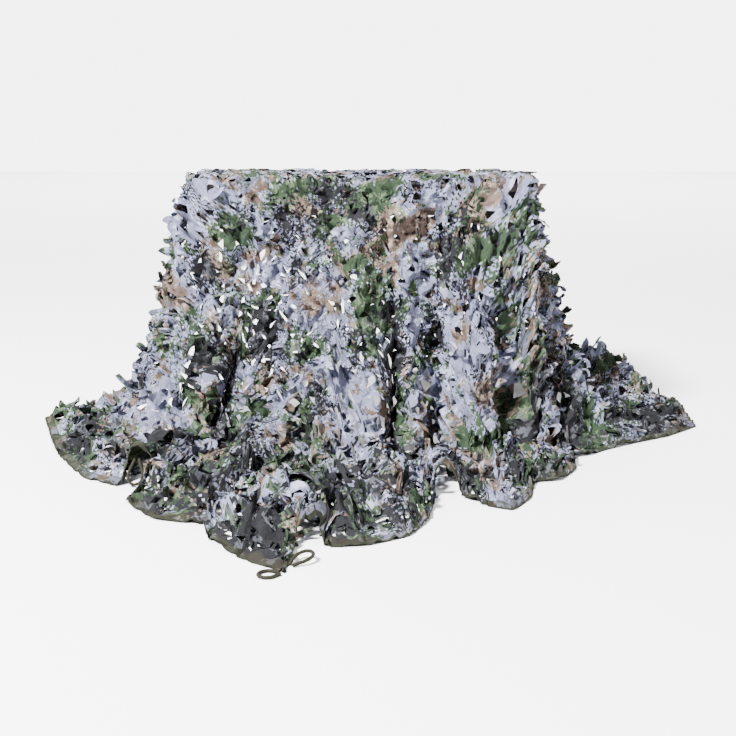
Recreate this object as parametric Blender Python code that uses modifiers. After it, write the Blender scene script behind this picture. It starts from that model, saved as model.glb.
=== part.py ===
"""Camouflage net, 2 m by 3 m, laid cornerwise over a plain table and let fall to the floor.

The net is cut flat, its leaf gaps are cut through, and each of its points is then carried to
where it hangs: level on the table's top, down the table's sides and out over the floor to the
hem. Three cord loops lie at its hem, and a plain table stands under it.

Units are metres and +Z is up. The origin is on the floor, under the middle of the net.
"""

import math
import random
from collections import namedtuple

import bpy
import numpy as np
from mathutils import Vector
from mathutils.geometry import area_tri, delaunay_2d_cdt

# The table. It stands with its middle at the origin until everything is centred at the end.
TABLE_WIDTH = 1.0
TABLE_DEPTH = 0.6
TABLE_HEIGHT = 0.75
TOP_THICKNESS = 0.022
LEG_SIDE = 0.04
LEG_INSET = 0.03
APRON_HEIGHT = 0.07
APRON_THICKNESS = 0.018
EDGE_ROUND = 0.003
TOUCH_GAP = 0.0003

# The net as it is cut, and where its middle lies over the table's. LINE_CLEAR is how far the
# mesh's lattice keeps from its lines, as a share of the pitch.
NET_LONG = 3.0
NET_SHORT = 2.0
NET_THICKNESS = 0.003
NET_MIDDLE = (0.13, -0.30)
NET_TURN = 38.0
MESH_PITCH = 0.0535
LINE_CLEAR = 0.66
LEAST_AREA = 1e-6
MOST_GAPS = 300
GAP_SEED = 11

# The net as it hangs. EDGE_POWER squares off the line in which it leaves the table's top, and
# STRAIGHT_DOWN is how far its folds hang square to that line instead of fanning from the middle.
# The shoulder and the shin are the two points that draw each column's curve, as shares of how
# far it stands out and of its height. The heaps die out towards HEAP_TOP and within HEAP_HEM.
CLOTH_CLEAR = 0.0025
EDGE_CLEAR = 0.018
EDGE_POWER = 24
STRAIGHT_DOWN = 0.25
HEM_LOOSENESS = 0.4
SHOULDER_OUT = 0.17
SHOULDER_DOWN = 0.47
SHIN_OUT = 0.47
SHIN_FREE = 0.30
STAND_MOST = 0.92
FREE_FROM = 0.15
LIFT_RUN = 0.30
HEAP_TOP = 0.25
HEAP_HEM = 0.12
COLUMNS_PER_METRE = 80
ROWS = 120
SEEK_REACH = 150
SEEK_STEPS = 30

# The cord of the tie loops. CORD_POINT_GAP is counted in cord diameters.
CORD_DIAMETER = 0.0080
CORD_POINT_GAP = 2.0
CORD_LEAST_POINTS = 8
HEM_GAP = 0.0012

# How the hem lies, a row for each fold or bend of it, seen from above with the table in the
# middle: where it is, how high it hangs or lies, and how far out from the table's edge the
# cloth above it meets the floor. Ridges stand far out and valleys fall close to the table.
Hem = namedtuple("Hem", "x y lift stand")
LEFT_CORNER = Hem(-1.010, -0.116, 0.000, 0.34)
FRONT_CORNER = Hem(-0.147, -1.395, 0.000, 0.42)
RIGHT_CORNER = Hem(1.049, -0.216, 0.000, 0.36)
BACK_CORNER = Hem(0.420, 0.950, 0.000, 0.32)
FRONT_LEFT = (
    Hem(-0.919, -0.367, 0.000, 0.34),
    Hem(-0.854, -0.526, 0.000, 0.36),
    Hem(-0.718, -0.751, 0.000, 0.38),
    Hem(-0.622, -0.815, 0.004, 0.33),
    Hem(-0.580, -0.765, 0.072, 0.29),
    Hem(-0.532, -0.790, 0.045, 0.31),
    Hem(-0.572, -0.938, 0.004, 0.33),
    Hem(-0.477, -1.069, 0.000, 0.42),
    Hem(-0.356, -1.109, 0.006, 0.36),
    Hem(-0.334, -1.190, 0.000, 0.42),
    Hem(-0.247, -1.313, 0.000, 0.44),
)
FRONT_RIGHT = (
    Hem(-0.118, -1.190, 0.030, 0.36),
    Hem(-0.088, -1.172, 0.030, 0.36),
    Hem(-0.066, -1.245, 0.004, 0.42),
    Hem(0.019, -1.240, 0.000, 0.44),
    Hem(0.118, -1.180, 0.000, 0.40),
    Hem(0.168, -1.075, 0.000, 0.38),
    Hem(0.196, -0.900, 0.000, 0.28),
    Hem(0.208, -0.800, 0.012, 0.10),
    Hem(0.232, -0.805, 0.016, 0.11),
    Hem(0.262, -0.907, 0.006, 0.26),
    Hem(0.320, -0.975, 0.000, 0.38),
    Hem(0.374, -1.002, 0.000, 0.40),
    Hem(0.436, -0.905, 0.000, 0.30),
    Hem(0.466, -0.785, 0.004, 0.14),
    Hem(0.527, -0.768, 0.004, 0.26),
    Hem(0.592, -0.665, 0.000, 0.30),
    Hem(0.609, -0.555, 0.006, 0.19),
    Hem(0.649, -0.536, 0.004, 0.26),
    Hem(0.718, -0.475, 0.000, 0.36),
    Hem(0.806, -0.411, 0.000, 0.40),
    Hem(0.927, -0.334, 0.000, 0.38),
)
BACK_RIGHT = (
    Hem(1.066, -0.040, 0.000, 0.34),
    Hem(1.085, 0.120, 0.000, 0.35),
    Hem(0.980, 0.230, 0.012, 0.28),
    Hem(0.985, 0.390, 0.000, 0.36),
    Hem(0.800, 0.430, 0.014, 0.16),
    Hem(0.800, 0.640, 0.000, 0.36),
    Hem(0.620, 0.640, 0.012, 0.18),
    Hem(0.590, 0.840, 0.000, 0.32),
)
BACK_LEFT = (
    Hem(0.300, 0.720, 0.006, 0.22),
    Hem(0.190, 0.640, 0.020, 0.30),
    Hem(0.110, 0.430, 0.150, 0.09),
    Hem(0.020, 0.470, 0.240, 0.16),
    Hem(-0.060, 0.380, 0.330, 0.05),
    Hem(-0.180, 0.430, 0.390, 0.12),
    Hem(-0.300, 0.360, 0.480, 0.04),
    Hem(-0.440, 0.400, 0.540, 0.09),
    Hem(-0.565, 0.350, 0.600, 0.06),
    Hem(-0.580, 0.230, 0.480, 0.05),
    Hem(-0.650, 0.130, 0.310, 0.13),
    Hem(-0.590, 0.020, 0.160, 0.07),
    Hem(-0.740, -0.030, 0.020, 0.24),
    Hem(-0.850, -0.075, 0.000, 0.32),
)

# Heaps of slack cloth on the floor: a row for each, with its middle, its height, its length and
# width, and the way that it runs, in degrees from +X.
Heap = namedtuple("Heap", "x y height length width turn")
HEAPS = (
    Heap(0.790, 0.060, 0.165, 0.46, 0.26, -62),
    Heap(-0.830, -0.110, 0.055, 0.40, 0.20, 8),
    Heap(0.690, -0.300, 0.060, 0.34, 0.16, -30),
    Heap(-0.800, -0.280, 0.040, 0.40, 0.14, -65),
    Heap(-0.580, -0.600, 0.045, 0.34, 0.14, -40),
    Heap(-0.360, -0.790, 0.055, 0.44, 0.15, 14),
    Heap(-0.060, -0.860, 0.055, 0.36, 0.15, -15),
    Heap(-0.230, -1.060, 0.035, 0.30, 0.12, 30),
    Heap(-0.118, -1.050, 0.050, 0.26, 0.06, 86),
    Heap(0.340, -0.740, 0.040, 0.22, 0.14, 20),
    Heap(0.560, 0.620, 0.045, 0.34, 0.15, -50),
)

# The tie loops: a row for each, with the place at the hem that it leaves, how far it reaches,
# the way that it points in degrees from +X, and how high its two ends and its far end lie over
# the floor.
TieLoop = namedtuple("TieLoop", "name x y reach turn near_rise far_rise")
TIE_LOOPS = (
    TieLoop("tie_loop_front_long", -0.1390, -1.3600, 0.058, 46, 0.0, 0.014),
    TieLoop("tie_loop_front_short", -0.1500, -1.3980, 0.045, -166, 0.0, 0.0),
    TieLoop("tie_loop_left", -0.5760, -0.7700, 0.048, -88, 0.058, 0.004),
)

# The route of every tie loop: how far aside of its middle line its two ends leave the hem, and
# the points of its round end, each as how far short of the tip and how far aside it lies. The
# other side mirrors them.
LOOP_ENDS_ASIDE = 0.0055
LOOP_END = ((0.0180, 0.0180), (0.0090, 0.0156), (0.0024, 0.0090), (0.0, 0.0))

Finish = namedtuple("Finish", "name colour roughness metallic")
NET_CLOTH = Finish("net_cloth", (0.36, 0.37, 0.40, 1.0), 0.85, 0.0)
TIE_CORD = Finish("tie_cord", (0.12, 0.12, 0.06, 1.0), 0.80, 0.0)
TABLE_BOARD = Finish("table_board", (0.16, 0.15, 0.14, 1.0), 0.60, 0.0)


def clear_scene():
    for obj in list(bpy.data.objects):
        bpy.data.objects.remove(obj)


def material(finish):
    found = bpy.data.materials.get(finish.name)
    if found:
        return found
    made = bpy.data.materials.new(finish.name)
    made.use_nodes = True
    shader = made.node_tree.nodes["Principled BSDF"]
    shader.inputs["Base Color"].default_value = finish.colour
    shader.inputs["Roughness"].default_value = finish.roughness
    shader.inputs["Metallic"].default_value = finish.metallic
    return made


def through(knots, values, at, looseness):
    """A curve through the values at the knots, read at the given places: 0 is straight runs."""
    slopes = looseness * np.gradient(values, knots, axis=0)
    i = np.clip(np.searchsorted(knots, at, side="right") - 1, 0, len(knots) - 2)
    span = (knots[i + 1] - knots[i])[:, None]
    t = (at[:, None] - knots[i][:, None]) / span
    return (
        (2 * t**3 - 3 * t**2 + 1) * values[i]
        + (t**3 - 2 * t**2 + t) * span * slopes[i]
        + (3 * t**2 - 2 * t**3) * values[i + 1]
        + (t**3 - t**2) * span * slopes[i + 1]
    )


# ---------------------------------------------------------------- the net's shape


def laid_out(x, y):
    """Where a point of the net lies flat over the table, from its place along and across it."""
    turn = math.radians(NET_TURN)
    return (
        NET_MIDDLE[0] + x * math.cos(turn) - y * math.sin(turn),
        NET_MIDDLE[1] + x * math.sin(turn) + y * math.cos(turn),
    )


def edge_half():
    return np.array([TABLE_WIDTH / 2 + EDGE_CLEAR, TABLE_DEPTH / 2 + EDGE_CLEAR])


def on_edge(flat):
    """The places at which the net leaves the table's top, in the directions of flat points."""
    way = flat / np.linalg.norm(flat, axis=1)[:, None]
    squared = np.sum((np.abs(way) / edge_half()) ** EDGE_POWER, axis=1)[:, None]
    return way / squared ** (1 / EDGE_POWER)


def roots(flat):
    """Where the folds that run out to flat points of the hem leave the table's top."""
    straight = np.clip(flat, -edge_half(), edge_half())
    return on_edge(STRAIGHT_DOWN * straight + (1 - STRAIGHT_DOWN) * on_edge(flat))


def cross(a, b):
    return a[..., 0] * b[..., 1] - a[..., 1] * b[..., 0]


class Drape:
    """Carries points of the flat net to where they hang over the table.

    The net is read as columns that run from the table's edge out to the hem, side by side
    round the table. Each is a curve that falls to the floor and runs along it to the hem.
    """

    def __init__(self):
        # Counted from the left corner, the corners go round by the front.
        half_long, half_short = NET_LONG / 2, NET_SHORT / 2
        self.corners = np.array(
            [
                laid_out(-half_long, half_short),
                laid_out(-half_long, -half_short),
                laid_out(half_long, -half_short),
                laid_out(half_long, half_short),
            ]
        )
        rows = (
            (LEFT_CORNER, *FRONT_LEFT, FRONT_CORNER),
            (FRONT_CORNER, *FRONT_RIGHT, RIGHT_CORNER),
            (RIGHT_CORNER, *BACK_RIGHT, BACK_CORNER),
            (BACK_CORNER, *BACK_LEFT, LEFT_CORNER),
        )
        cuts = (NET_SHORT, NET_LONG, NET_SHORT, NET_LONG)
        self.knots = []
        hems = []
        flats = []
        for side, (side_rows, cut) in enumerate(zip(rows, cuts)):
            values = np.array(side_rows)
            runs = np.linalg.norm(np.diff(values[:, :3], axis=0), axis=1)
            knots = np.concatenate([[0.0], np.cumsum(runs)])
            knots *= cut / knots[-1]
            self.knots.append(knots)
            along = np.linspace(0, cut, int(cut * COLUMNS_PER_METRE), endpoint=False)
            hems.append(through(knots, values, along, HEM_LOOSENESS))
            flats.append(self.on_side(side, along / cut))
        self.hem = np.concatenate(flats)
        self.root = roots(self.hem)
        self.columns = self.hang(np.concatenate(hems))

    def on_side(self, side, shares):
        """Points of the flat hem at shares of one side."""
        start, end = self.corners[side], self.corners[(side + 1) % 4]
        return start + (end - start) * np.asarray(shares)[:, None]

    def hang(self, hem):
        """The columns, as an array of places with a line for each column."""
        start = self.root
        run = hem[:, :2] - start
        length = np.linalg.norm(run, axis=1)[:, None]
        height, lift, stand = TABLE_HEIGHT + CLOTH_CLEAR, hem[:, 2:3], hem[:, 3:4]
        free = np.clip(lift / FREE_FROM, 0, 1)
        low = free * lift
        foot = np.minimum(stand, STAND_MOST * length) * (1 - free) + length * free
        t = np.linspace(0, 1, ROWS)[None, :]
        first, second, third, last = (1 - t) ** 3, 3 * (1 - t) ** 2 * t, 3 * (1 - t) * t**2, t**3
        out = second * SHOULDER_OUT * stand + third * SHIN_OUT * stand + last * foot
        down = (
            first * height
            + second * (height - SHOULDER_DOWN * (height - low))
            + third * (low + SHIN_FREE * free * (height - low))
            + last * low
        )
        out = np.hstack([out, length])
        down = np.hstack([down, low])
        steps = np.hypot(np.diff(out), np.diff(down))
        path = np.hstack([np.zeros((len(out), 1)), np.cumsum(steps, axis=1)])
        shares = np.linspace(0, 1, ROWS)
        columns = np.empty((len(out), ROWS, 3))
        for i, whole in enumerate(path[:, -1]):
            at = shares * whole
            outward = np.interp(at, path[i], out[i])
            near_hem = np.clip(1 - (whole - at) / LIFT_RUN, 0, 1)
            raised = (hem[i, 2] - low[i]) * near_hem**2 * (3 - 2 * near_hem)
            columns[i, :, :2] = start[i] + run[i] / length[i] * outward[:, None]
            columns[i, :, 2] = np.interp(at, path[i], down[i]) + raised
            fall = np.clip(1 - columns[i, :, 2] / HEAP_TOP, 0, 1)
            inside = np.clip((whole - at) / HEAP_HEM, 0, 1)
            columns[i, :, 2] += heaped(columns[i, :, :2]) * fall * inside
        columns[:, :, 2] = np.maximum(columns[:, :, 2], 0.0)
        return columns

    def between(self, values, column):
        """Values of the columns, read between one column and the next."""
        i = np.floor(column).astype(int)
        part = (column - i).reshape(-1, *[1] * (values.ndim - 1))
        return values[i % len(values)] * (1 - part) + values[(i + 1) % len(values)] * part

    def column_of(self, flat):
        """The column on which each flat point lies, by halving the stretch that it is in."""
        angles = np.unwrap(np.arctan2(self.hem[:, 1], self.hem[:, 0]))
        turn = np.arctan2(flat[:, 1], flat[:, 0])
        turn = angles[0] + (turn - angles[0]) % (2 * math.pi)
        middle = np.interp(turn, angles, np.arange(len(angles)))
        low, high = middle - SEEK_REACH, middle + SEEK_REACH
        for _ in range(SEEK_STEPS):
            middle = (low + high) / 2
            root = self.between(self.root, middle)
            before = cross(self.between(self.hem, middle) - root, flat - root) > 0
            low = np.where(before, middle, low)
            high = np.where(before, high, middle)
        return middle

    def at(self, flat):
        """The hanging places of flat points."""
        column = self.column_of(flat)
        root = self.between(self.root, column)
        hem = self.between(self.hem, column)
        reach = np.linalg.norm(flat - root, axis=1) / np.linalg.norm(hem - root, axis=1)
        row = np.clip(reach, 0, 1) * (ROWS - 1)
        above = np.clip(row.astype(int), 0, ROWS - 2)
        part = (row - above)[:, None]
        beside = self.between(self.columns, column)
        each = np.arange(len(flat))
        hung = beside[each, above] * (1 - part) + beside[each, above + 1] * part
        level = np.column_stack([flat, np.full(len(flat), TABLE_HEIGHT + CLOTH_CLEAR)])
        over = np.linalg.norm(flat, axis=1) > np.linalg.norm(on_edge(flat), axis=1)
        return np.where(over[:, None], hung, level)


def heaped(places):
    """How high the slack cloth stands off the floor at each place."""
    height = np.zeros(len(places))
    for heap in HEAPS:
        turn = math.radians(heap.turn)
        dx, dy = places[:, 0] - heap.x, places[:, 1] - heap.y
        along = (dx * math.cos(turn) + dy * math.sin(turn)) / (heap.length / 2)
        across = (dy * math.cos(turn) - dx * math.sin(turn)) / (heap.width / 2)
        height = np.maximum(height, heap.height * np.exp(-(along**2) - across**2))
    return height


# ---------------------------------------------------------------- the net's making


def divided(start, end, pitch):
    """Points from start towards end, in steps of about the pitch, with end left out."""
    count = max(1, round(float(np.linalg.norm(end - start)) / pitch))
    return [start + (end - start) * i / count for i in range(count)]


def fold_lines(drape):
    """The flat lines that the mesh follows: hem, table's edge, and each ridge and valley."""
    hem, ends = [], []
    for side, knots in enumerate(drape.knots):
        points = drape.on_side(side, knots / knots[-1])
        ends += list(points[:-1])
        for start, end in zip(points, points[1:]):
            hem += divided(start, end, MESH_PITCH)
    starts = list(roots(np.array(ends)))
    edge = []
    for start, end in zip(starts, starts[1:] + starts[:1]):
        edge += list(on_edge(np.array(divided(start, end, MESH_PITCH))))
    folds = [[*divided(start, end, MESH_PITCH), end] for start, end in zip(starts, ends)]
    return hem, edge, folds


def lattice(drape, taken):
    """Points of an even three-way lattice over the flat net, clear of the points taken."""
    step = MESH_PITCH * math.sqrt(3) / 2
    points = []
    for row in range(1, int(NET_SHORT / step)):
        for column in range(1, int(NET_LONG / MESH_PITCH)):
            x = (column + 0.5 * (row % 2)) * MESH_PITCH - NET_LONG / 2
            points.append(laid_out(x, row * step - NET_SHORT / 2))
    points = np.array(points)
    gaps = np.linalg.norm(points[:, None] - np.array(taken)[None], axis=2).min(axis=1)
    return points[gaps > LINE_CLEAR * MESH_PITCH]


def flat_net(drape):
    """The flat net as points and triangles."""
    hem, edge, folds = fold_lines(drape)
    lines = [hem + hem[:1], edge + edge[:1], *folds]
    points, numbers, links = [], {}, []
    for line in lines:
        ids = []
        for point in line:
            key = tuple(np.round(point, 6))
            if key not in numbers:
                numbers[key] = len(points)
                points.append(Vector(point))
            ids.append(numbers[key])
        links += zip(ids, ids[1:])
    points += [Vector(point) for point in lattice(drape, points)]
    made = delaunay_2d_cdt(points, links, [], 0, 1e-6)
    # Points in line along the hem can leave triangles with no area, which are dropped.
    places = np.array(made[0])
    faces = [face for face in made[2] if area_tri(*[made[0][i] for i in face]) > LEAST_AREA]
    return places, faces, {tuple(np.round(point, 6)) for point in hem}


def leaf_gaps(points, faces, hem):
    """Which triangles to leave open: up to MOST_GAPS, none at the hem or touching another."""
    draw = random.Random(GAP_SEED)
    order = list(range(len(faces)))
    draw.shuffle(order)
    used = {i for i, point in enumerate(points) if tuple(np.round(point, 6)) in hem}
    gaps = set()
    for number in order:
        if len(gaps) == MOST_GAPS:
            break
        if not used & set(faces[number]):
            used |= set(faces[number])
            gaps.add(number)
    return gaps


def make_net(collection):
    """The net: cut flat, carried to where it hangs, and given its thickness."""
    drape = Drape()
    points, faces, hem = flat_net(drape)
    gaps = leaf_gaps(points, faces, hem)
    kept = [face for number, face in enumerate(faces) if number not in gaps]
    mesh = bpy.data.meshes.new("net")
    mesh.from_pydata([tuple(place) for place in drape.at(points)], [], kept)
    mesh.shade_smooth()
    net = bpy.data.objects.new("net", mesh)
    collection.objects.link(net)
    mesh.materials.append(material(NET_CLOTH))
    wall = net.modifiers.new("thickness", "SOLIDIFY")
    wall.thickness = NET_THICKNESS
    wall.offset = 1.0
    return net


# ---------------------------------------------------------------- the tie loops


def loop_route(row):
    """The middle line of a tie loop: out of the hem, round its end, and back to the hem."""
    turn = math.radians(row.turn)
    start_gap = 0.5 * CORD_DIAMETER + HEM_GAP
    length = math.hypot(row.reach, row.far_rise - row.near_rise)
    outline = [(0.0, LOOP_ENDS_ASIDE), *((length - short, aside) for short, aside in LOOP_END)]
    outline += [(along, -aside) for along, aside in outline[-2::-1]]
    points = []
    for along, aside in outline:
        share = along / length
        out = start_gap + share * row.reach
        points.append(
            (
                row.x + out * math.cos(turn) - aside * math.sin(turn),
                row.y + out * math.sin(turn) + aside * math.cos(turn),
                CORD_DIAMETER / 2 + row.near_rise * (1 - share) + row.far_rise * share,
            )
        )
    return np.array(points)


def make_tie_loop(collection, row):
    """One tie loop, a round cord with both its ends at the hem."""
    route = loop_route(row)
    runs = np.linalg.norm(np.diff(route, axis=0), axis=1)
    knots = np.concatenate([[0.0], np.cumsum(runs)])
    count = max(CORD_LEAST_POINTS, round(knots[-1] / (CORD_POINT_GAP * CORD_DIAMETER)))
    line = bpy.data.curves.new(row.name, "CURVE")
    line.dimensions = "3D"
    line.bevel_depth = CORD_DIAMETER / 2
    line.bevel_resolution = 2
    line.use_fill_caps = True
    spline = line.splines.new("POLY")
    spline.points.add(count)
    places = through(knots, route, knots[-1] * np.linspace(0, 1, count + 1), 1.0)
    for point, place in zip(spline.points, places):
        point.co = (*place, 1.0)
    loop = bpy.data.objects.new(row.name, line)
    collection.objects.link(loop)
    line.materials.append(material(TIE_CORD))
    return loop


# ---------------------------------------------------------------- the table


def make_board(collection, name, size, middle):
    """A board or post with softened edges."""
    bpy.ops.mesh.primitive_cube_add(size=1, location=middle)
    board = bpy.context.object
    board.name = name
    for vert in board.data.vertices:
        vert.co = Vector([vert.co[i] * size[i] for i in range(3)])
    soft = board.modifiers.new("edges", "BEVEL")
    soft.width = EDGE_ROUND
    soft.segments = 1
    for other in list(board.users_collection):
        other.objects.unlink(board)
    collection.objects.link(board)
    board.data.materials.append(material(TABLE_BOARD))
    return board


def make_table(collection):
    """The plain table: a top, four legs and four aprons."""
    under_top = TABLE_HEIGHT - TOP_THICKNESS
    make_board(
        collection,
        "table_top",
        (TABLE_WIDTH, TABLE_DEPTH, TOP_THICKNESS),
        (0, 0, TABLE_HEIGHT - TOP_THICKNESS / 2),
    )
    leg_height = under_top - TOUCH_GAP
    leg_x = TABLE_WIDTH / 2 - LEG_INSET - LEG_SIDE / 2
    leg_y = TABLE_DEPTH / 2 - LEG_INSET - LEG_SIDE / 2
    for side_x, across in ((-1, "left"), (1, "right")):
        for side_y, along in ((-1, "front"), (1, "back")):
            make_board(
                collection,
                f"table_leg_{along}_{across}",
                (LEG_SIDE, LEG_SIDE, leg_height),
                (side_x * leg_x, side_y * leg_y, leg_height / 2),
            )
    apron_z = under_top - TOUCH_GAP - APRON_HEIGHT / 2
    long_run = 2 * leg_x - LEG_SIDE - 2 * TOUCH_GAP
    short_run = 2 * leg_y - LEG_SIDE - 2 * TOUCH_GAP
    for side, along in ((-1, "front"), (1, "back")):
        make_board(
            collection,
            f"table_apron_{along}",
            (long_run, APRON_THICKNESS, APRON_HEIGHT),
            (0, side * leg_y, apron_z),
        )
    for side, across in ((-1, "left"), (1, "right")):
        make_board(
            collection,
            f"table_apron_{across}",
            (APRON_THICKNESS, short_run, APRON_HEIGHT),
            (side * leg_x, 0, apron_z),
        )


def centre_on(net, collection):
    """Moves every part so that the net's middle is over the origin."""
    bpy.context.view_layer.update()
    evaluated = net.evaluated_get(bpy.context.evaluated_depsgraph_get())
    corners = [evaluated.matrix_world @ Vector(corner) for corner in evaluated.bound_box]
    shift = Vector((0, 0, 0))
    for axis in (0, 1):
        reach = [corner[axis] for corner in corners]
        shift[axis] = -(min(reach) + max(reach)) / 2
    for obj in collection.objects:
        obj.location += shift


def main():
    clear_scene()
    collection = bpy.data.collections.new("camouflage_net_on_table")
    bpy.context.scene.collection.children.link(collection)
    net = make_net(collection)
    for row in TIE_LOOPS:
        make_tie_loop(collection, row)
    make_table(collection)
    centre_on(net, collection)


main()
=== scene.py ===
"""Looks of a leaf-cut camouflage net that hangs cornerwise over a plain table.

The net is one sheet, cut in rows of leaf-shaped tongues that curl out of it, with a plain hem
band all round. It follows the solid's folds: the hem rows and heaps below are the ones that
shape the solid, and the small crumples, the leaves, the print and the weave are added to them.
Cord loops lie at the hem, and the table stands under the net.

Units are metres and +Z is up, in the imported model's own frame.
"""

import logging
import math
from dataclasses import dataclass
from enum import Enum, IntEnum
from typing import Callable, NamedTuple, Sequence

import bpy
import numpy as np
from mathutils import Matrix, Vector


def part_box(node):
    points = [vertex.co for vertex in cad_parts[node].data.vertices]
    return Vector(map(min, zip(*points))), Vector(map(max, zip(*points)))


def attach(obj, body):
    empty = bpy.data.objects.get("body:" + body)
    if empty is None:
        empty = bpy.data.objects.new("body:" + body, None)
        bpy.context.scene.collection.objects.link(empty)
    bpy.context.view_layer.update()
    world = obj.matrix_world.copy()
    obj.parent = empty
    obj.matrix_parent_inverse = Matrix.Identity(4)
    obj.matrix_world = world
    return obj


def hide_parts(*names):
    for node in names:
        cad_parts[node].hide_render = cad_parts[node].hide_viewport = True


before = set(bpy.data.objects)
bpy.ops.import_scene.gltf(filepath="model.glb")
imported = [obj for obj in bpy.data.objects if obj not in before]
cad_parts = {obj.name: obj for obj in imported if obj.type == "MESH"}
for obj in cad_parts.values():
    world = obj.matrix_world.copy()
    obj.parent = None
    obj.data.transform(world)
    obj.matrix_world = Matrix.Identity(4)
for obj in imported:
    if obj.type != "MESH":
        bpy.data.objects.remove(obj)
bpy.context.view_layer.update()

LOG = logging.getLogger("camouflage_net")

Colour = tuple[float, float, float]


# ---------------------------------------------------------------- the net's folds


class HemRow(NamedTuple):
    """A fold or bend of the hem, seen from above with the table's middle at (0, 0).

    lift is how high the hem hangs or lies there, and stand is how far out from the table's
    edge the cloth above it meets the floor.
    """

    x: float
    y: float
    lift: float
    stand: float


class Heap(NamedTuple):
    """Slack cloth that stands off what it lies on; turn is in degrees from +X."""

    x: float
    y: float
    height: float
    length: float
    width: float
    turn: float


LEFT_CORNER = HemRow(-1.010, -0.116, 0.000, 0.34)
FRONT_CORNER = HemRow(-0.147, -1.395, 0.000, 0.42)
RIGHT_CORNER = HemRow(1.049, -0.216, 0.000, 0.36)
BACK_CORNER = HemRow(0.420, 0.950, 0.000, 0.32)
FRONT_LEFT = (
    HemRow(-0.919, -0.367, 0.000, 0.34),
    HemRow(-0.854, -0.526, 0.000, 0.36),
    HemRow(-0.718, -0.751, 0.000, 0.38),
    HemRow(-0.622, -0.815, 0.004, 0.33),
    HemRow(-0.580, -0.765, 0.072, 0.29),
    HemRow(-0.532, -0.790, 0.045, 0.31),
    HemRow(-0.572, -0.938, 0.004, 0.33),
    HemRow(-0.477, -1.069, 0.000, 0.42),
    HemRow(-0.356, -1.109, 0.006, 0.36),
    HemRow(-0.334, -1.190, 0.000, 0.42),
    HemRow(-0.247, -1.313, 0.000, 0.44),
)
FRONT_RIGHT = (
    HemRow(-0.118, -1.190, 0.030, 0.36),
    HemRow(-0.088, -1.172, 0.030, 0.36),
    HemRow(-0.066, -1.245, 0.004, 0.42),
    HemRow(0.019, -1.240, 0.000, 0.44),
    HemRow(0.118, -1.180, 0.000, 0.40),
    HemRow(0.168, -1.075, 0.000, 0.38),
    HemRow(0.196, -0.900, 0.000, 0.28),
    HemRow(0.208, -0.800, 0.012, 0.10),
    HemRow(0.232, -0.805, 0.016, 0.11),
    HemRow(0.262, -0.907, 0.006, 0.26),
    HemRow(0.320, -0.975, 0.000, 0.38),
    HemRow(0.374, -1.002, 0.000, 0.40),
    HemRow(0.436, -0.905, 0.000, 0.30),
    HemRow(0.466, -0.785, 0.004, 0.14),
    HemRow(0.527, -0.768, 0.004, 0.26),
    HemRow(0.592, -0.665, 0.000, 0.30),
    HemRow(0.609, -0.555, 0.006, 0.19),
    HemRow(0.649, -0.536, 0.004, 0.26),
    HemRow(0.718, -0.475, 0.000, 0.36),
    HemRow(0.806, -0.411, 0.000, 0.40),
    HemRow(0.927, -0.334, 0.000, 0.38),
)
BACK_RIGHT = (
    HemRow(1.066, -0.040, 0.000, 0.34),
    HemRow(1.085, 0.120, 0.000, 0.35),
    HemRow(0.980, 0.230, 0.012, 0.28),
    HemRow(0.985, 0.390, 0.000, 0.36),
    HemRow(0.800, 0.430, 0.014, 0.16),
    HemRow(0.800, 0.640, 0.000, 0.36),
    HemRow(0.620, 0.640, 0.012, 0.18),
    HemRow(0.590, 0.840, 0.000, 0.32),
)
BACK_LEFT = (
    HemRow(0.300, 0.720, 0.006, 0.22),
    HemRow(0.190, 0.640, 0.020, 0.30),
    HemRow(0.110, 0.430, 0.150, 0.09),
    HemRow(0.020, 0.470, 0.240, 0.16),
    HemRow(-0.060, 0.380, 0.330, 0.05),
    HemRow(-0.180, 0.430, 0.390, 0.12),
    HemRow(-0.300, 0.360, 0.480, 0.04),
    HemRow(-0.440, 0.400, 0.540, 0.09),
    HemRow(-0.565, 0.350, 0.600, 0.06),
    HemRow(-0.580, 0.230, 0.480, 0.05),
    HemRow(-0.650, 0.130, 0.310, 0.13),
    HemRow(-0.590, 0.020, 0.160, 0.07),
    HemRow(-0.740, -0.030, 0.020, 0.24),
    HemRow(-0.850, -0.075, 0.000, 0.32),
)
FLOOR_HEAPS = (
    Heap(0.790, 0.060, 0.165, 0.46, 0.26, -62),
    Heap(-0.830, -0.110, 0.055, 0.40, 0.20, 8),
    Heap(0.690, -0.300, 0.060, 0.34, 0.16, -30),
    Heap(-0.800, -0.280, 0.040, 0.40, 0.14, -65),
    Heap(-0.580, -0.600, 0.045, 0.34, 0.14, -40),
    Heap(-0.360, -0.790, 0.055, 0.44, 0.15, 14),
    Heap(-0.060, -0.860, 0.055, 0.36, 0.15, -15),
    Heap(-0.230, -1.060, 0.035, 0.30, 0.12, 30),
    Heap(-0.118, -1.050, 0.050, 0.26, 0.06, 86),
    Heap(0.340, -0.740, 0.040, 0.22, 0.14, 20),
    Heap(0.560, 0.620, 0.045, 0.34, 0.15, -50),
)

# Folds of slack net that lie on the table's top, in the same terms.
TOP_FOLDS = (
    Heap(-0.075, -0.240, 0.020, 0.22, 0.050, 70),
    Heap(-0.330, -0.200, 0.010, 0.30, 0.060, 40),
    Heap(0.150, -0.180, 0.010, 0.34, 0.070, -25),
    Heap(0.350, -0.240, 0.012, 0.20, 0.050, 80),
    Heap(0.060, 0.120, 0.014, 0.50, 0.080, 12),
    Heap(-0.300, 0.140, 0.012, 0.40, 0.070, -35),
)


class Crease(NamedTuple):
    """A point of a sharp crease in the hung net, from the table's middle and the floor.

    depth is how far the cloth is pushed in there, half how wide the crease is each way, and
    ridge how far the cloth beside it stands out.
    """

    x: float
    y: float
    z: float
    depth: float
    half: float
    ridge: float


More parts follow.
